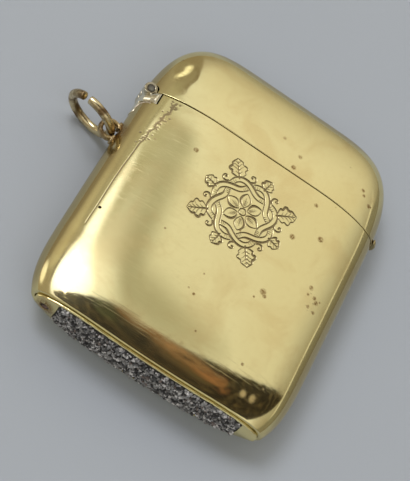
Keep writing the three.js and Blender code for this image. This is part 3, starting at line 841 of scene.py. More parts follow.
def cover(tree, colour, mask, share, over):
    """A colour with another laid over it through a mask, as far as share"""
    return blend_colour(tree, times(tree, mask, share), colour, over)


def dress(tree, shader, colour, rough, metallic, normal):
    feed(tree, shader.inputs["Base Color"], colour)
    feed(tree, shader.inputs["Roughness"], rough)
    feed(tree, shader.inputs["Metallic"], metallic)
    feed(tree, shader.inputs["Normal"], normal)


def coat(tree, shader, colour, rough, metallic, grain, strength, depth):
    """Colour, roughness, metal and a fine grain, deep in millimetres, on a shader"""
    bump = node(tree, "ShaderNodeBump", {"Height": grain, "Strength": strength, "Distance": depth * MM})
    dress(tree, shader, colour, rough, metallic, bump.outputs["Normal"])


def stain_mask(tree, place, spots):
    """Broken round stains at places in millimetres, and a pepper of small ones"""
    masks = []
    for x, y, z, radius in spots:
        gap = vector_node(tree, "DISTANCE", place, (x, y, z))["Value"]
        masks.append(rest_of(tree, ramp(tree, gap, radius * 0.5, radius * 1.2)))
    pepper = node(tree, "ShaderNodeTexVoronoi", {"Vector": place, "Scale": 0.21, "Randomness": 1.0})
    masks.append(rest_of(tree, ramp(tree, pepper.outputs["Distance"], 0.02, 0.06)))
    broken = ramp(tree, noise(tree, place, 3.2, 3.0), 0.3, 0.6)
    return times(tree, most(tree, *masks), plus(tree, times(tree, broken, 0.6), 0.3))


def hairlines(tree):
    """Fine scratches along three directions"""
    masks = []
    for turn, density, low in ((0.5, 1.0, 0.62), (-0.9, 0.8, 0.64), (1.9, 1.2, 0.66)):
        lines = noise(tree, millimetres(tree, (0.16, 9.0 * density, 1.0), turn), 1.0, 2.0, 0.6)
        masks.append(ramp(tree, lines, low, low + 0.1))
    return most(tree, *masks)


# Stains on body and lid: X, Y, Z and radius in millimetres
FRONT_SPOTS = [
    (9.4, -8.95, 10.9, 0.62), (9.9, -9.5, 10.9, 0.4), (16.2, -3.0, 10.4, 0.5), (17.5, -4.1, 10.1, 0.45),
    (18.1, -4.6, 9.9, 0.5), (17.1, -6.1, 10.2, 0.4), (18.4, -6.3, 9.8, 0.4), (16.2, -4.3, 10.4, 0.34),
    (13.8, 5.4, 10.8, 0.6), (9.4, 2.6, 10.9, 0.55), (10.5, 10.3, 10.9, 0.42), (4.4, 16.8, 10.9, 0.55),
    (4.2, 14.1, 10.9, 0.5), (-0.7, 19.8, 10.8, 0.45), (0.66, 18.4, 10.8, 0.55), (16.6, 19.0, 9.4, 0.45),
    (18.7, 17.2, 9.0, 0.5), (17.1, 18.2, 9.4, 0.4), (-11.0, 6.2, 10.8, 0.5), (0.0, -16.1, 10.9, 0.3),
    (11.9, -21.5, 10.8, 0.3), (-3.8, 23.3, 10.0, 0.45), (-22.6, 3.6, 6.2, 2.1),
]
# Brown of a painted dim reflection, laid over the narrow sides and the crown
EDGE_PAINTED_REFLECTION = (0.42, 0.33, 0.17)
STAIN_BROWN = (0.24, 0.13, 0.04)
HAZE_ROUGHNESS = 0.36


def polished_brass(name, looks, spots, engraved):
    """Polished sheet: cloudy where it has dulled, darkened at its narrow sides and crown by a painted dim
    reflection, stained, scratched and hazy
    """
    look, tree, shader = shading(name)
    place = millimetres(tree)
    dull = ramp(tree, noise(tree, place, 0.11, 4.0, 0.55, 0.6), 0.44, 0.68)
    mottled = ramp(tree, noise(tree, place, 1.1, 5.0, 0.6), 0.5, 0.75)
    sides = node(tree, "ShaderNodeSeparateXYZ", {0: place}).outputs
    across = node(tree, "ShaderNodeMath", {0: sides["X"]}, operation="ABSOLUTE").outputs["Value"]
    # Mask of the painted dim reflection: the narrow sides and the crown
    edge = most(tree, ramp(tree, across, 20.4, 22.0), ramp(tree, sides["Y"], 26.4, 27.8))
    stains = stain_mask(tree, place, spots)
    hair = hairlines(tree)
    colour = cover(tree, looks.polished, dull, 0.45, looks.warm)
    colour = cover(tree, colour, mottled, 0.12, looks.warm)
    # Painted dim reflection: the narrow sides and the crown darkened towards brown
    colour = cover(tree, colour, edge, 0.75, EDGE_PAINTED_REFLECTION)
    colour = blend_colour(tree, stains, colour, STAIN_BROWN)
    rough = plus(tree, times(tree, dull, 0.07), looks.polish)
    for mask, more in ((mottled, 0.05), (stains, 0.3), (hair, 0.06)):
        rough = plus(tree, rough, times(tree, mask, more))
    if engraved:
        dark = ramp(tree, attribute(tree, "engraved"), 0.05, 0.6)
        colour = cover(tree, colour, dark, 0.8, looks.patina)
        rough = plus(tree, rough, times(tree, dark, 0.25))
    scratched = node(tree, "ShaderNodeBump", {"Height": hair, "Strength": 0.1, "Distance": 0.01 * MM})
    grain = node(tree, "ShaderNodeBump", {
        "Height": noise(tree, place, 6.0, 4.0), "Strength": 0.1, "Distance": 0.012 * MM,
        "Normal": scratched.outputs["Normal"],
    }).outputs["Normal"]
    hazy = node(tree, "ShaderNodeBsdfPrincipled")
    dress(tree, shader, colour, rough, 1.0, grain)
    dress(tree, hazy, colour, HAZE_ROUGHNESS, 1.0, grain)
    mixed = node(tree, "ShaderNodeMixShader", {
        0: looks.haze, 1: shader.outputs["BSDF"], 2: hazy.outputs["BSDF"],
    })
    tree.links.new(mixed.outputs["Shader"], tree.nodes["Material Output"].inputs["Surface"])
    return look


def axis_gap(tree, place, centre, along):
    """Distance in millimetres to a line through the centre along one axis"""
    flat = [0.0 if axis == along else 1.0 for axis in range(3)]
    gap = vector_node(tree, "SUBTRACT", place, [value / MM for value in centre])["Vector"]
    gap = vector_node(tree, "MULTIPLY", gap, flat)["Vector"]
    return vector_node(tree, "LENGTH", gap)["Value"]


def plain_metal(name, bright, dark, rough, grain_scale, drum=None):
    """Metal whose tone moves between two colours, with a fine grain; browner in a drum round Z"""
    look, tree, shader = shading(name)
    place = millimetres(tree)
    cloud = ramp(tree, noise(tree, place, grain_scale, 5.0, 0.6, 0.4), 0.38, 0.66)
    colour = blend_colour(tree, cloud, bright, dark)
    if drum:
        within = rest_of(tree, ramp(tree, axis_gap(tree, place, drum, 2), 1.0, 1.25))
        colour = cover(tree, colour, within, 0.75, (0.2, 0.16, 0.09))
    rough = plus(tree, times(tree, cloud, 0.18), rough)
    coat(tree, shader, colour, rough, 1.0, noise(tree, place, grain_scale * 9, 4.0), 0.25, 0.02)
    return look


def pin_end(name, centre, along, reach, core, ring):
    """Look of a pin: a core and a darker ring round it, by the distance to its axis in millimetres"""
    look, tree, shader = shading(name)
    place = millimetres(tree)
    cloud = ramp(tree, noise(tree, place, 2.2, 4.0, 0.6), 0.35, 0.7)
    rim = ramp(tree, axis_gap(tree, place, centre, along), reach * 0.62, reach * 0.9)
    colour = blend_colour(tree, cloud, core, [0.55 * value for value in core])
    colour = blend_colour(tree, rim, colour, ring)
    rough = plus(tree, times(tree, cloud, 0.2), 0.34)
    coat(tree, shader, colour, rough, 0.85, noise(tree, place, 7.0, 4.0), 0.3, 0.03)
    return look


def floor_look():
    look, tree, shader = shading("pale_floor")
    place = millimetres(tree)
    colour = blend_colour(tree, noise(tree, place, 0.012, 3.0), (0.43, 0.465, 0.505), (0.46, 0.495, 0.535))
    coat(tree, shader, colour, 0.85, 0.0, noise(tree, place, 2.4, 2.0), 0.12, 0.1)
    return look


def grain_colours():
    """Dark, grey, brown and pale grains, each with one shade"""
    look, tree, shader = shading("striker_grit")
    place = millimetres(tree)
    shade, tint = attribute(tree, "shade"), attribute(tree, "tint")
    grey = blend_colour(tree, ramp(tree, shade, 0.15, 0.8), (0.03, 0.029, 0.029), (0.4, 0.395, 0.39))
    grey = blend_colour(tree, ramp(tree, shade, 0.8, 0.93), grey, (0.82, 0.8, 0.79))
    colour = blend_colour(tree, ramp(tree, tint, 0.93, 0.98), grey, (0.22, 0.17, 0.15))
    cloud = ramp(tree, noise(tree, place, 4.0, 4.0), 0.35, 0.7)
    colour = cover(tree, colour, cloud, 0.35, (0.07, 0.062, 0.06))
    rough = reckon(tree, "SUBTRACT", 0.62, times(tree, shade, 0.3))
    coat(tree, shader, colour, rough, 0.0, noise(tree, place, 9.0, 4.0), 0.5, 0.05)
    return look


class MATCHCASE_OT_body(bpy.types.Operator):
    """Build the body shell with its worn skin and engraved rosette"""

    bl_idname = "match_case.body"
    bl_label = "Body Shell"

    def execute(self, context):
        piece = smooth(build_body(context), 40)
        outside = polished_brass("body_brass", context.scene.match_case_look, FRONT_SPOTS, True)
        inside = plain_metal("inner_brass", (0.66, 0.54, 0.27), (0.46, 0.36, 0.16), 0.35, 0.5)
        finish_piece(piece, "case", "polished_brass", (outside, inside), "body_front", "body_back")
        return {"FINISHED"}


class MATCHCASE_OT_lid(bpy.types.Operator):
    """Build the lid shell"""

    bl_idname = "match_case.lid"
    bl_label = "Lid Shell"

    def execute(self, context):
        piece = smooth(build_lid(context), 40)
        outside = polished_brass("lid_brass", context.scene.match_case_look, FRONT_SPOTS, False)
        inside = bpy.data.materials["inner_brass"]
        finish_piece(piece, "lid", "polished_brass", (outside, inside), "lid_front", "lid_back")
        return {"FINISHED"}


class MATCHCASE_OT_ring(bpy.types.Operator):
    """Build the open jump ring in the place of its solid"""

    bl_idname = "match_case.ring"
    bl_label = "Jump Ring"

    wire: length_prop("Wire radius", "Radius of the ring's wire", 0.74 * MM)
    radius: length_prop("Ring radius", "Radius of the wire's middle line", 4.25 * MM)
    turn: angle_prop("Turn", "Turn of the ring about Z", -14)
    lean: angle_prop("Lean", "Lean of the ring off upright", 11)
    gap: length_prop("Gap", "Gap between the wire's ends", 1.25 * MM)
    gap_place: angle_prop("Gap place", "Angle of the gap round the ring", 116)

    EYE_OUT, EYE_DROP = 1.2 * MM, 9.25 * MM
    SLACK_X, SLACK_Y, LIFT = 0.34 * MM, -0.12 * MM, 0.08 * MM
    WORN_END = 0.16 * MM

    def place(self, form):
        """Where the ring hangs in its eye: a turn and a place as one matrix"""
        eye = Vector((-form.width / 2 - self.EYE_OUT, form.seam - form.seat - self.EYE_DROP))
        stand = self.radius * math.cos(self.lean) + self.wire + self.LIFT
        hang = Matrix.Translation((eye.x + self.SLACK_X, eye.y + self.SLACK_Y, stand))
        return np.array(hang @ Matrix.Rotation(self.turn, 4, "Z") @ Matrix.Rotation(self.lean, 4, "X"))

    def wire_rows(self):
        """Rings of points along the open wire, a little uneven, with worn ends"""
        half = self.gap / 2 / self.radius
        start = self.gap_place + half
        end = self.gap_place + 2 * math.pi - half
        edge = self.WORN_END / self.radius
        turns = np.concatenate([
            [start, start + edge * 0.35, start + edge],
            np.linspace(start + 2 * edge, end - 2 * edge, 150),
            [end - edge, end - edge * 0.35, end],
        ])
        sizes = np.ones(len(turns))
        sizes[[0, 1, -2, -1]] = (0.8, 0.95, 0.95, 0.8)
        wobble = 1 + 0.012 * np.sin(turns * 5 + 1) + 0.008 * np.sin(turns * 13)
        angles = round_angles(28)[:, None]
        rows = []
        for turn, size, wave in zip(turns, sizes, wobble):
            out = np.array([math.cos(turn), 0, math.sin(turn)])
            radius = self.wire * size * wave
            centre = self.radius * (out - [1, 0, 0])
            rows.append(centre + radius * (np.cos(angles) * out + np.sin(angles) * np.array([0, 1, 0])))
        return np.array(rows)

    def execute(self, context):
        rows = self.wire_rows()
        place = self.place(context.scene.match_case_form)
        points = rows.reshape(-1, 3) @ place[:3, :3].T + place[:3, 3]
        faces = tube_faces(rows.shape[0], rows.shape[1])
        piece = smooth(face_out(mesh_from("jump_ring_wire", points, faces)), 50)
        aged = plain_metal("aged_brass", context.scene.match_case_look.aged, (0.19, 0.12, 0.055), 0.2, 0.35)
        finish_piece(piece, "ring", "aged_brass", (aged,), "jump_ring")
        return {"FINISHED"}


# An icosahedron of radius 1, the form that every grain starts from
GOLDEN = (1 + math.sqrt(5)) / 2
GRAIN_CORNERS = np.array([
    (-1, GOLDEN, 0), (1, GOLDEN, 0), (-1, -GOLDEN, 0), (1, -GOLDEN, 0), (0, -1, GOLDEN), (0, 1, GOLDEN),
    (0, -1, -GOLDEN), (0, 1, -GOLDEN), (GOLDEN, 0, -1), (GOLDEN, 0, 1), (-GOLDEN, 0, -1), (-GOLDEN, 0, 1),
]) / math.sqrt(1 + GOLDEN ** 2)
GRAIN_FACES = [
    (0, 11, 5), (0, 5, 1), (0, 1, 7), (0, 7, 10), (0, 10, 11), (1, 5, 9), (5, 11, 4), (11, 10, 2), (10, 7, 6),
    (7, 1, 8), (3, 9, 4), (3, 4, 2), (3, 2, 6), (3, 6, 8), (3, 8, 9), (4, 9, 5), (2, 4, 11), (6, 2, 10),
    (8, 6, 7), (9, 8, 1),
]
BED_MARGIN = 0.35 * MM
BED_INSET = 0.62 * MM
BED_CROWN = 0.5 * MM
BED_DROP = 0.32 * MM
BED_LIFT = 0.24 * MM
GRAIN_SEED = 11


class MATCHCASE_OT_striker(bpy.types.Operator):
    """Build the striking surface: a bed with a crowd of uneven grains pressed into it"""

    bl_idname = "match_case.striker"
    bl_label = "Striking Surface"

    grains: bpy.props.IntProperty(name="Grains", description="Number of grains in the bed", default=2600)
    small: length_prop("Small grain", "Radius of the smallest grains", 0.17 * MM)
    large: length_prop("Large grain", "Radius of the largest grains", 0.46 * MM)

    def grain(self, case, chance, low, high):
        """Corners of one uneven grain, sunk into the crowned bed"""
        size = self.small + (self.large - self.small) * chance.uniform() ** 2.2
        x = chance.uniform(low.x + size * 0.6, high.x - size * 0.6)
        share = chance.uniform(-1, 1)
        bow = case.bulge(x)
        half = case.half_depth(x, -bow, -BED_INSET) - BED_MARGIN - size * 0.55
        crown = BED_CROWN * (1 - (share * half / (half + BED_MARGIN)) ** 2)
        sunk = 0.06 * MM - chance.uniform(0.0, 0.18) * MM
        middle = np.array([x, sunk - bow - crown - BED_DROP - case.form.seat, case.mid + share * half])
        turn = np.array(Matrix.Rotation(chance.uniform(0, 6.28), 3, Vector(chance.normal(size=3))))
        uneven = GRAIN_CORNERS * chance.uniform(0.72, 1.18, (12, 1))
        uneven = uneven * [1.0, chance.uniform(0.6, 0.95), chance.uniform(0.7, 1)]
        return middle + size * uneven @ turn.T

    def execute(self, context):
        case = cushion_of(context)
        low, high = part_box("striker_strip")
        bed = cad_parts["striker_strip"].data
        points = [points_of(bed) + [0, BED_LIFT, 0]]
        faces = [list(face.vertices) for face in bed.polygons]
        count = len(points[0])
        shades, tints = [np.full(count, 0.1)], [np.zeros(count)]
        chance = np.random.default_rng(GRAIN_SEED)
        for _ in range(self.grains):
            points.append(self.grain(case, chance, low, high))
            faces += [[count + corner for corner in face] for face in GRAIN_FACES]
            shades.append(np.full(12, chance.uniform()))
            tints.append(np.full(12, chance.uniform()))
            count += 12
        piece = mesh_from("striker_bed", np.concatenate(points), faces)
        store(piece, "shade", np.concatenate(shades))
        store(piece, "tint", np.concatenate(tints))
        finish_piece(piece, "case", "striker_grit", (grain_colours(),), "striker_strip")
        return {"FINISHED"}


def worn_copy(part, name, cell, passes, fuller=0.0):
    """The solid of a CAD part as a piece of its own, with its edges worn round"""
    piece = bpy.data.objects.new(name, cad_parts[part].data.copy())
    bpy.context.scene.collection.objects.link(piece)
    skin = piece.modifiers.new("skin", "REMESH")
    skin.mode = "VOXEL"
    skin.voxel_size = cell
    worn = piece.modifiers.new("worn", "SMOOTH")
    worn.factor = 0.5
    worn.iterations = passes
    if fuller:
        grown = piece.modifiers.new("grown", "DISPLACE")
        grown.mid_level = 0
        grown.strength = fuller
    return smooth(applied(piece), 80)


def widen_ends(piece, start, more):
    """Draw both ends of the plate out to the wall that holds them"""
    points = points_of(piece.data)
    x = points[:, 0]
    share = np.clip((np.abs(x) - start) / (3 * MM), 0, 1)
    points[:, 0] = x + np.sign(x) * more * share
    return move_points(piece, points)


def swell_leaf(piece, form):
    """Round the leaf's two corners, front and back, between the knuckles and its lower edge"""
    points = points_of(piece.data)
    seam, mid = form.seam - form.seat, form.depth / 2
    middle, reach, most_out = seam - 1.3 * MM, 1.05 * MM, 0.34 * MM
    inner_edge = form.width / 2 - 2.4 * MM
    place = (points[:, 1] - middle) / reach
    side = np.sign(points[:, 2] - mid)
    near = np.clip((np.abs(points[:, 2] - mid) - 0.6 * MM) / (1.0 * MM), 0, 1)
    outer = -points[:, 0] > inner_edge
    swell = most_out * np.maximum(0, 1 - place ** 2) * near * outer
    return move_points(piece, points + stack(-0.5 * swell, 0.0, 0.86 * swell * side))


def solder_line(case):
    """A thin run of solder along the leaf's lower edge, from its slot over the side"""
    form = case.form
    rows, columns, thick = 40, 12, 0.13 * MM
    x = -form.width / 2 + np.array([2.0, 1.6, 1.2, 0.85, 0.5, 0.25, 0.08]) * MM
    height = form.seam - np.array([2.45, 2.42, 2.46, 2.6, 2.95, 3.6, 4.4]) * MM
    share = np.linspace(0, len(x) - 1, rows)
    x, height = (np.interp(share, np.arange(len(x)), values) for values in (x, height))
    path = stack(x, height - form.seat, case.mid + case.half_depth(x, height))
    along = np.gradient(path, axis=0)
    along /= np.linalg.norm(along, axis=1, keepdims=True)
    out = np.cross(along, [0, 1, 0.0])
    out /= np.linalg.norm(out, axis=1, keepdims=True)
    side = np.cross(along, out)
    radius = thick * np.sin(np.linspace(0.25, math.pi - 0.25, rows)) ** 0.5
    angles = round_angles(columns)[None, :, None]
    section = np.cos(angles) * out[:, None] + np.sin(angles) * side[:, None]
    points = path[:, None] + radius[:, None, None] * section
    return smooth(face_out(mesh_from("hinge_solder", points, tube_faces(rows, columns))), 60)


class MATCHCASE_OT_fittings(bpy.types.Operator):
    """Make the hinge, eye, lip and base plate with worn edges, and give the other parts their metals"""

    bl_idname = "match_case.fittings"
    bl_label = "Small Fittings"

    def execute(self, context):
        form, looks = context.scene.match_case_form, context.scene.match_case_look
        brass = polished_brass("fitting_brass", looks, [], False)
        pale = plain_metal("hinge_brass", (0.86, 0.81, 0.64), (0.56, 0.49, 0.32), 0.1, 0.5, HINGE_AXIS)
        brown = plain_metal("brown_brass", (0.52, 0.4, 0.21), (0.2, 0.13, 0.06), 0.2, 0.7)
        solder = plain_metal("solder", (0.88, 0.83, 0.77), (0.7, 0.58, 0.46), 0.14, 1.1)
        # A brown patch round the rivet that darkens the plate's pad there
        rivet_patch = [(RIVET.x / MM, RIVET_LOW.y / MM, RIVET.z / MM, 1.9)]
        plate_brass = polished_brass("plate_brass", looks, rivet_patch, False)
        plate = worn_copy("base_plate", "base_plate_worn", cell=0.11 * MM, passes=2)
        widen_ends(plate, start=17.4 * MM, more=0.3 * MM)
        finish_piece(plate, "case", "polished_brass", (plate_brass,), "base_plate")
        leaf = swell_leaf(worn_copy("hinge_leaf", "hinge_leaf_worn", cell=0.065 * MM, passes=8), form)
        finish_piece(leaf, "case", "polished_brass", (pale,), "hinge_leaf")
        finish_piece(solder_line(cushion_of(context)), "case", "polished_brass", (solder,))
        for part, body, slot, look, cell, passes, fuller in (
            ("lid_leaf", "lid", "polished_brass", pale, 0.06 * MM, 5, 0),
            ("thumb_lip", "lid", "polished_brass", brass, 0.05 * MM, 4, 0),
            ("ring_eye", "case", "aged_brass", brown, 0.06 * MM, 5, 0.1 * MM),
        ):
            piece = worn_copy(part, part + "_worn", cell, passes, fuller)
            finish_piece(piece, body, slot, (look,), part)
        dressed = {
            "mouth_liner": bpy.data.materials["inner_brass"],
            "hinge_pin": pin_end("pin_steel", HINGE_AXIS, 2, 0.65, (0.2, 0.19, 0.15), (0.06, 0.05, 0.04)),
            "spring_pin": pin_end(
                "cross_pin_steel", SPRING_PIN, 2, 0.22, (0.1, 0.07, 0.05), (0.03, 0.02, 0.015)),
            "base_rivet": pin_end("rivet_metal", RIVET, 1, 0.6, (0.3, 0.17, 0.12), (0.05, 0.035, 0.025)),
            "lid_spring": plain_metal("spring_steel", (0.3, 0.32, 0.36), (0.2, 0.2, 0.22), 0.3, 0.6),
        }
        for name, look in dressed.items():
            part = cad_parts[name]
            part.data.materials.clear()
            part.data.materials.append(look)
        return {"FINISHED"}


class MATCHCASE_OT_stage(bpy.types.Operator):
    """Floor, lights, surroundings and camera"""

    bl_idname = "match_case.stage"
    bl_label = "Stage"

    def execute(self, context):
        build_floor()
        build_window()
        build_surroundings(context.scene)
        build_camera(context.scene)
        context.scene.view_settings.view_transform = "Standard"
        return {"FINISHED"}


def build_floor():
    half = 1.5
    corners = np.array([[-half, -half, 0], [half, -half, 0], [half, half, 0], [-half, half, 0]])
    floor = mesh_from("floor", corners, [[0, 1, 2, 3]])
    floor.data.materials.append(floor_look())


def direction(azimuth, elevation):
    """Unit vector: azimuth from +Y towards +X, in degrees"""
    turn, rise = math.radians(azimuth), math.radians(elevation)
    return Vector((math.sin(turn) * math.cos(rise), math.cos(turn) * math.cos(rise), math.sin(rise)))


WINDOW = (-69, 56)
WINDOW_DISTANCE = 2.4


def build_window():
    """A broad window high on the hinge side"""
    towards = direction(*WINDOW)
    light = bpy.data.lights.new("window", "AREA")
    light.shape = "RECTANGLE"
    light.size = 0.8
    light.size_y = 0.75
    light.energy = 11.5
    light.color = (1.0, 0.99, 0.97)
    lamp = bpy.data.objects.new("window", light)
    lamp.location = towards * WINDOW_DISTANCE
    lamp.rotation_euler = towards.to_track_quat("Z", "Y").to_euler()
    bpy.context.scene.collection.objects.link(lamp)


# Colours of the surroundings, and the direction that the lid's corner mirrors
SKY_LOW, SKY_HIGH, SEEN_WALL = (0.4, 0.375, 0.31), (1.0, 1.0, 0.98), (0.6, 0.62, 0.64)
CEILING, WARM_CORNER, LIT_CORNER = (0.44, 0.43, 0.35), (0.6, 0.5, 0.3), (0.95, 0.8, 0.56)
FAR_WALL, FAR_SHADE, FAR_LEDGE = (0.33, 0.29, 0.19), (0.25, 0.235, 0.19), (1.05, 1.0, 0.9)
DULL_WALL, DULL_EDGE, DULL_LINE = (0.39, 0.345, 0.265), (0.29, 0.245, 0.17), (0.2, 0.15, 0.09)
PALE_PATCH, DULL_PATCH = (0.72, 0.66, 0.5), (0.5, 0.48, 0.37)
DARK_BAR, GLINT = (0.07, 0.055, 0.035), (1.5, 1.42, 1.2)
WINDOW_HAZE, WINDOW_PANE, LOW_WINDOW = (1.5, 1.5, 1.6), (2.4, 2.45, 2.8), (1.8, 1.75, 1.6)
ROOM_DARK, ROOM_BROWN, ROOM_PALE = (0.014, 0.009, 0.005), (0.1, 0.07, 0.035), (0.6, 0.5, 0.38)
LID_CORNER = (-27, 32)


class Surroundings:
    """The world's colour by direction: a sky over a horizon, and what is laid over it through masks"""

    def __init__(self, tree):
        self.tree = tree
        self.looking = node(tree, "ShaderNodeTexCoord").outputs["Generated"]
        self.colour = blend_colour(tree, self.above(0, 55), SKY_LOW, SKY_HIGH)

    def cosine(self, towards):
        return vector_node(self.tree, "DOT_PRODUCT", self.looking, towards)["Value"]

    def facing(self, towards, low, high):
        """0 where the cosine to a direction is below low, 1 above high"""
        return ramp(self.tree, self.cosine(Vector(towards).normalized()), low, high)

    def patch(self, azimuth, elevation, near, far):
        """1 within near degrees of a direction, 0 beyond far"""
        low, high = math.cos(math.radians(far)), math.cos(math.radians(near))
        return self.facing(direction(azimuth, elevation), low, high)

    def above(self, low, high):
        return self.facing((0, 0, 1), math.sin(math.radians(low)), math.sin(math.radians(high)))

    def below(self, low, high):
        return rest_of(self.tree, self.above(low, high))

    def all_of(self, *masks):
        return times(self.tree, *masks)

    def clouds(self, scale, detail, roughness):
        return noise(self.tree, self.looking, scale, detail, roughness)

    def lay(self, share, over, *masks):
        """A colour laid over the others where all the masks are 1, as far as share"""
        self.colour = cover(self.tree, self.colour, self.all_of(*masks), share, over)


def paint_walls(around):
    """The slope of the ceiling, two warm corners and the wall at the far side"""
    slope = (-0.328, 0.034, 0.944)
    slope_end = rest_of(around.tree, around.facing(slope, 0.87, 0.93))
    hinge_half = around.facing((-0.906, 0.423, 0), -0.16, 0.06)
    around.lay(0.88, CEILING, around.facing(slope, 0.79, 0.85), slope_end, hinge_half)
    around.lay(0.3, WARM_CORNER, around.patch(42, 50, 8, 26))
    around.lay(0.25, LIT_CORNER, around.patch(14, 33, 12, 30))
    around.lay(0.62, FAR_WALL, around.facing((1, 0.25, 0), 0.62, 0.95), around.below(35, 62))
    around.lay(
        0.95, FAR_SHADE, around.facing((-0.175, -0.861, -0.477), -0.842, -0.825),
        around.facing((1, 0, 0), 0.2, 0.4), around.below(16, 19))
    around.lay(
        0.8, FAR_LEDGE, around.facing((1, 0.6, 0), 0.86, 0.93), around.above(15.5, 16.5),
        around.below(17.5, 19))


def paint_hinge_side(around):
    """The dull wall that the hinge side and the lid's corner mirror, with the bright things in it"""
    tree = around.tree
    upper = around.all_of(around.facing((-0.891, -0.454, 0), -0.01, 0.02), around.below(38.5, 40.5))
    lower = around.all_of(around.facing((-0.99, -0.12, 0), -0.01, 0.04), around.below(7, 14))
    lid_foot = around.all_of(around.facing((-0.962, -0.273, 0), -0.01, 0.02), around.below(28, 31))
    lid_corner = most(tree, around.patch(*LID_CORNER, 8.2, 9.6), lid_foot)
    around.lay(0.97, DULL_WALL, most(tree, upper, lower, lid_corner))
    around.lay(0.6, DULL_EDGE, lid_corner, around.facing((0.788, 0.616, 0), -0.01, 0.02))
    around.lay(
        0.5, DULL_LINE, around.patch(*LID_CORNER, 8.8, 9.8),
        rest_of(tree, around.patch(*LID_CORNER, 4.5, 7)), around.facing((0.829, 0.559, 0), -0.01, 0.03))
    around.lay(0.8, PALE_PATCH, around.patch(-66, 24, 5, 14))
    around.lay(
        0.8, DARK_BAR, around.facing((-0.914, 0.407, 0), 0.7, 0.75),
        around.above(36, 37.2), around.below(39.4, 40.6))
    for azimuth, elevation, share in ((-35.5, 22.2, 0.35), (-32, 23.6, 1.0), (-28.5, 24.2, 0.55)):
        around.lay(share, GLINT, around.patch(azimuth, elevation, 0.8, 4.6))
    around.lay(0.6, DULL_PATCH, around.patch(-44, 43, 6, 16))
    around.lay(0.5, WINDOW_HAZE, around.patch(-50, 67, 5, 20))
    around.lay(
        1.0, WINDOW_PANE, around.patch(*WINDOW, 12, 27),
        around.facing((-0.743, -0.669, 0.25), 0.13, 0.21), around.above(37, 43))
    around.lay(0.9, LOW_WINDOW, around.patch(-84, 12, 5, 12))


# Warm and green things in the dim room: azimuth, elevation, near, far, share and colour
ROOM_THINGS = [
    (-5, 82, 1.5, 5.5, 0.75, (0.075, 0.095, 0.05)), (21, 76.6, 0.6, 2.2, 0.75, (0.32, 0.18, 0.1)),
    (29, 75.2, 0.6, 2.3, 0.8, (0.36, 0.19, 0.1)), (39, 75.4, 1.2, 3.0, 0.95, (0.56, 0.32, 0.18)),
    (54, 74.2, 1.4, 3.6, 0.9, (0.42, 0.19, 0.09)), (70, 72.5, 0.8, 2.8, 0.8, (0.34, 0.15, 0.07)),
]


def paint_dim_room(around):
    """The dim room behind the camera, which the base end mirrors"""
    tree = around.tree
    wander = times(tree, reckon(tree, "SUBTRACT", around.clouds(9.0, 4.0, 0.6), 0.5), 0.03)
    wall = ramp(tree, plus(tree, around.cosine((0.313, -0.935, 0.166)), wander), -0.03, -0.018)
    furniture = ramp(tree, around.clouds(13.0, 4.0, 0.6), 0.45, 0.7)
    dim = blend_colour(tree, furniture, ROOM_DARK, ROOM_BROWN)
    around.lay(1.0, dim, wall, around.facing((0.007, 0.657, 0.754), 0.488, 0.5))
    broken = ramp(tree, around.clouds(42.0, 5.0, 0.8), 0.4, 0.55)
    for azimuth, elevation, near, far, share, tone in ROOM_THINGS:
        around.lay(share, tone, around.patch(azimuth, elevation, near, far), broken)
    for azimuth, elevation, near, far in ((68, 62.5, 1.2, 2.8), (71, 54.5, 1.4, 3.4)):
        around.lay(0.85, ROOM_PALE, around.patch(azimuth, elevation, near, far))


def build_surroundings(scene):
    """A pale wall beyond the case and a dim room on the camera's side of it"""
    world = bpy.data.worlds.new("studio")
    scene.world = world
    world.use_nodes = True
    tree = world.node_tree
    tree.nodes.clear()
    around = Surroundings(tree)
    paint_walls(around)
    paint_hinge_side(around)
    paint_dim_room(around)
    seen = node(tree, "ShaderNodeLightPath").outputs["Is Camera Ray"]
    colour = blend_colour(tree, seen, around.colour, SEEN_WALL)
    background = node(tree, "ShaderNodeBackground", {"Color": colour, "Strength": 1.0})
    node(tree, "ShaderNodeOutputWorld", {"Surface": background.outputs["Background"]})


CAMERA_PLACE = (-28.98 * MM, -127.08 * MM, 209.46 * MM)
CAMERA_RIGHT = (0.8278, 0.4244, 0.3669)
CAMERA_UP = (-0.5495, 0.7453, 0.3777)
CAMERA_LENS = 131.5


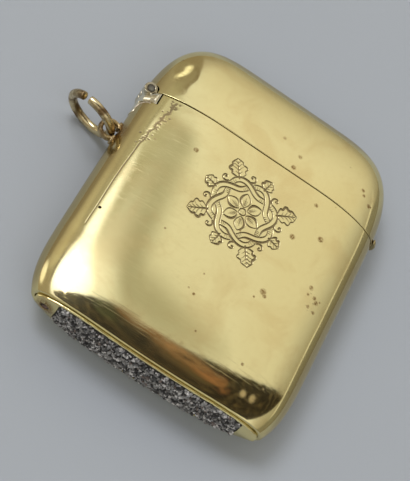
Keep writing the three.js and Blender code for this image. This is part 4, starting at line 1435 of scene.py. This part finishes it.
def build_camera(scene):
    camera = bpy.data.objects.new("camera", bpy.data.cameras.new("camera"))
    right, up = Vector(CAMERA_RIGHT).normalized(), Vector(CAMERA_UP)
    back = right.cross(up).normalized()
    up = back.cross(right)
    camera.matrix_world = Matrix.Translation(CAMERA_PLACE) @ Matrix((right, up, back)).transposed().to_4x4()
    camera.data.lens = CAMERA_LENS
    camera.data.sensor_fit = "HORIZONTAL"
    camera.data.clip_start = 0.01
    scene.collection.objects.link(camera)
    scene.camera = camera


class MATCHCASE_PT_panel(bpy.types.Panel):
    """Match case sizes, colours and build steps"""

    bl_label = "Match Case"
    bl_idname = "MATCHCASE_PT_panel"
    bl_space_type = "VIEW_3D"
    bl_region_type = "UI"
    bl_category = "Match Case"

    def draw(self, context):
        scene = context.scene
        for group in (scene.match_case_form, scene.match_case_ornament, scene.match_case_look):
            box = self.layout.box()
            for name in group.bl_rna.properties.keys():
                if name not in ("rna_type", "name"):
                    box.prop(group, name)
        for step in STEPS:
            self.layout.operator(step.bl_idname)


STEPS = (
    MATCHCASE_OT_body, MATCHCASE_OT_lid, MATCHCASE_OT_ring, MATCHCASE_OT_striker, MATCHCASE_OT_fittings,
    MATCHCASE_OT_stage,
)
GROUPS = {"match_case_form": CaseForm, "match_case_ornament": OrnamentForm, "match_case_look": BrassLook}


def register():
    for group in GROUPS.values():
        bpy.utils.register_class(group)
    for step in STEPS:
        bpy.utils.register_class(step)
    bpy.utils.register_class(MATCHCASE_PT_panel)
    for name, group in GROUPS.items():
        setattr(bpy.types.Scene, name, bpy.props.PointerProperty(type=group))


def unregister():
    for name in GROUPS:
        delattr(bpy.types.Scene, name)
    bpy.utils.unregister_class(MATCHCASE_PT_panel)
    for step in reversed(STEPS):
        bpy.utils.unregister_class(step)
    for group in reversed(list(GROUPS.values())):
        bpy.utils.unregister_class(group)


def main():
    register()
    bpy.ops.match_case.body()
    bpy.ops.match_case.lid()
    bpy.ops.match_case.ring()
    bpy.ops.match_case.striker()
    bpy.ops.match_case.fittings()
    bpy.ops.match_case.stage()


if __name__ == "__main__":
    main()
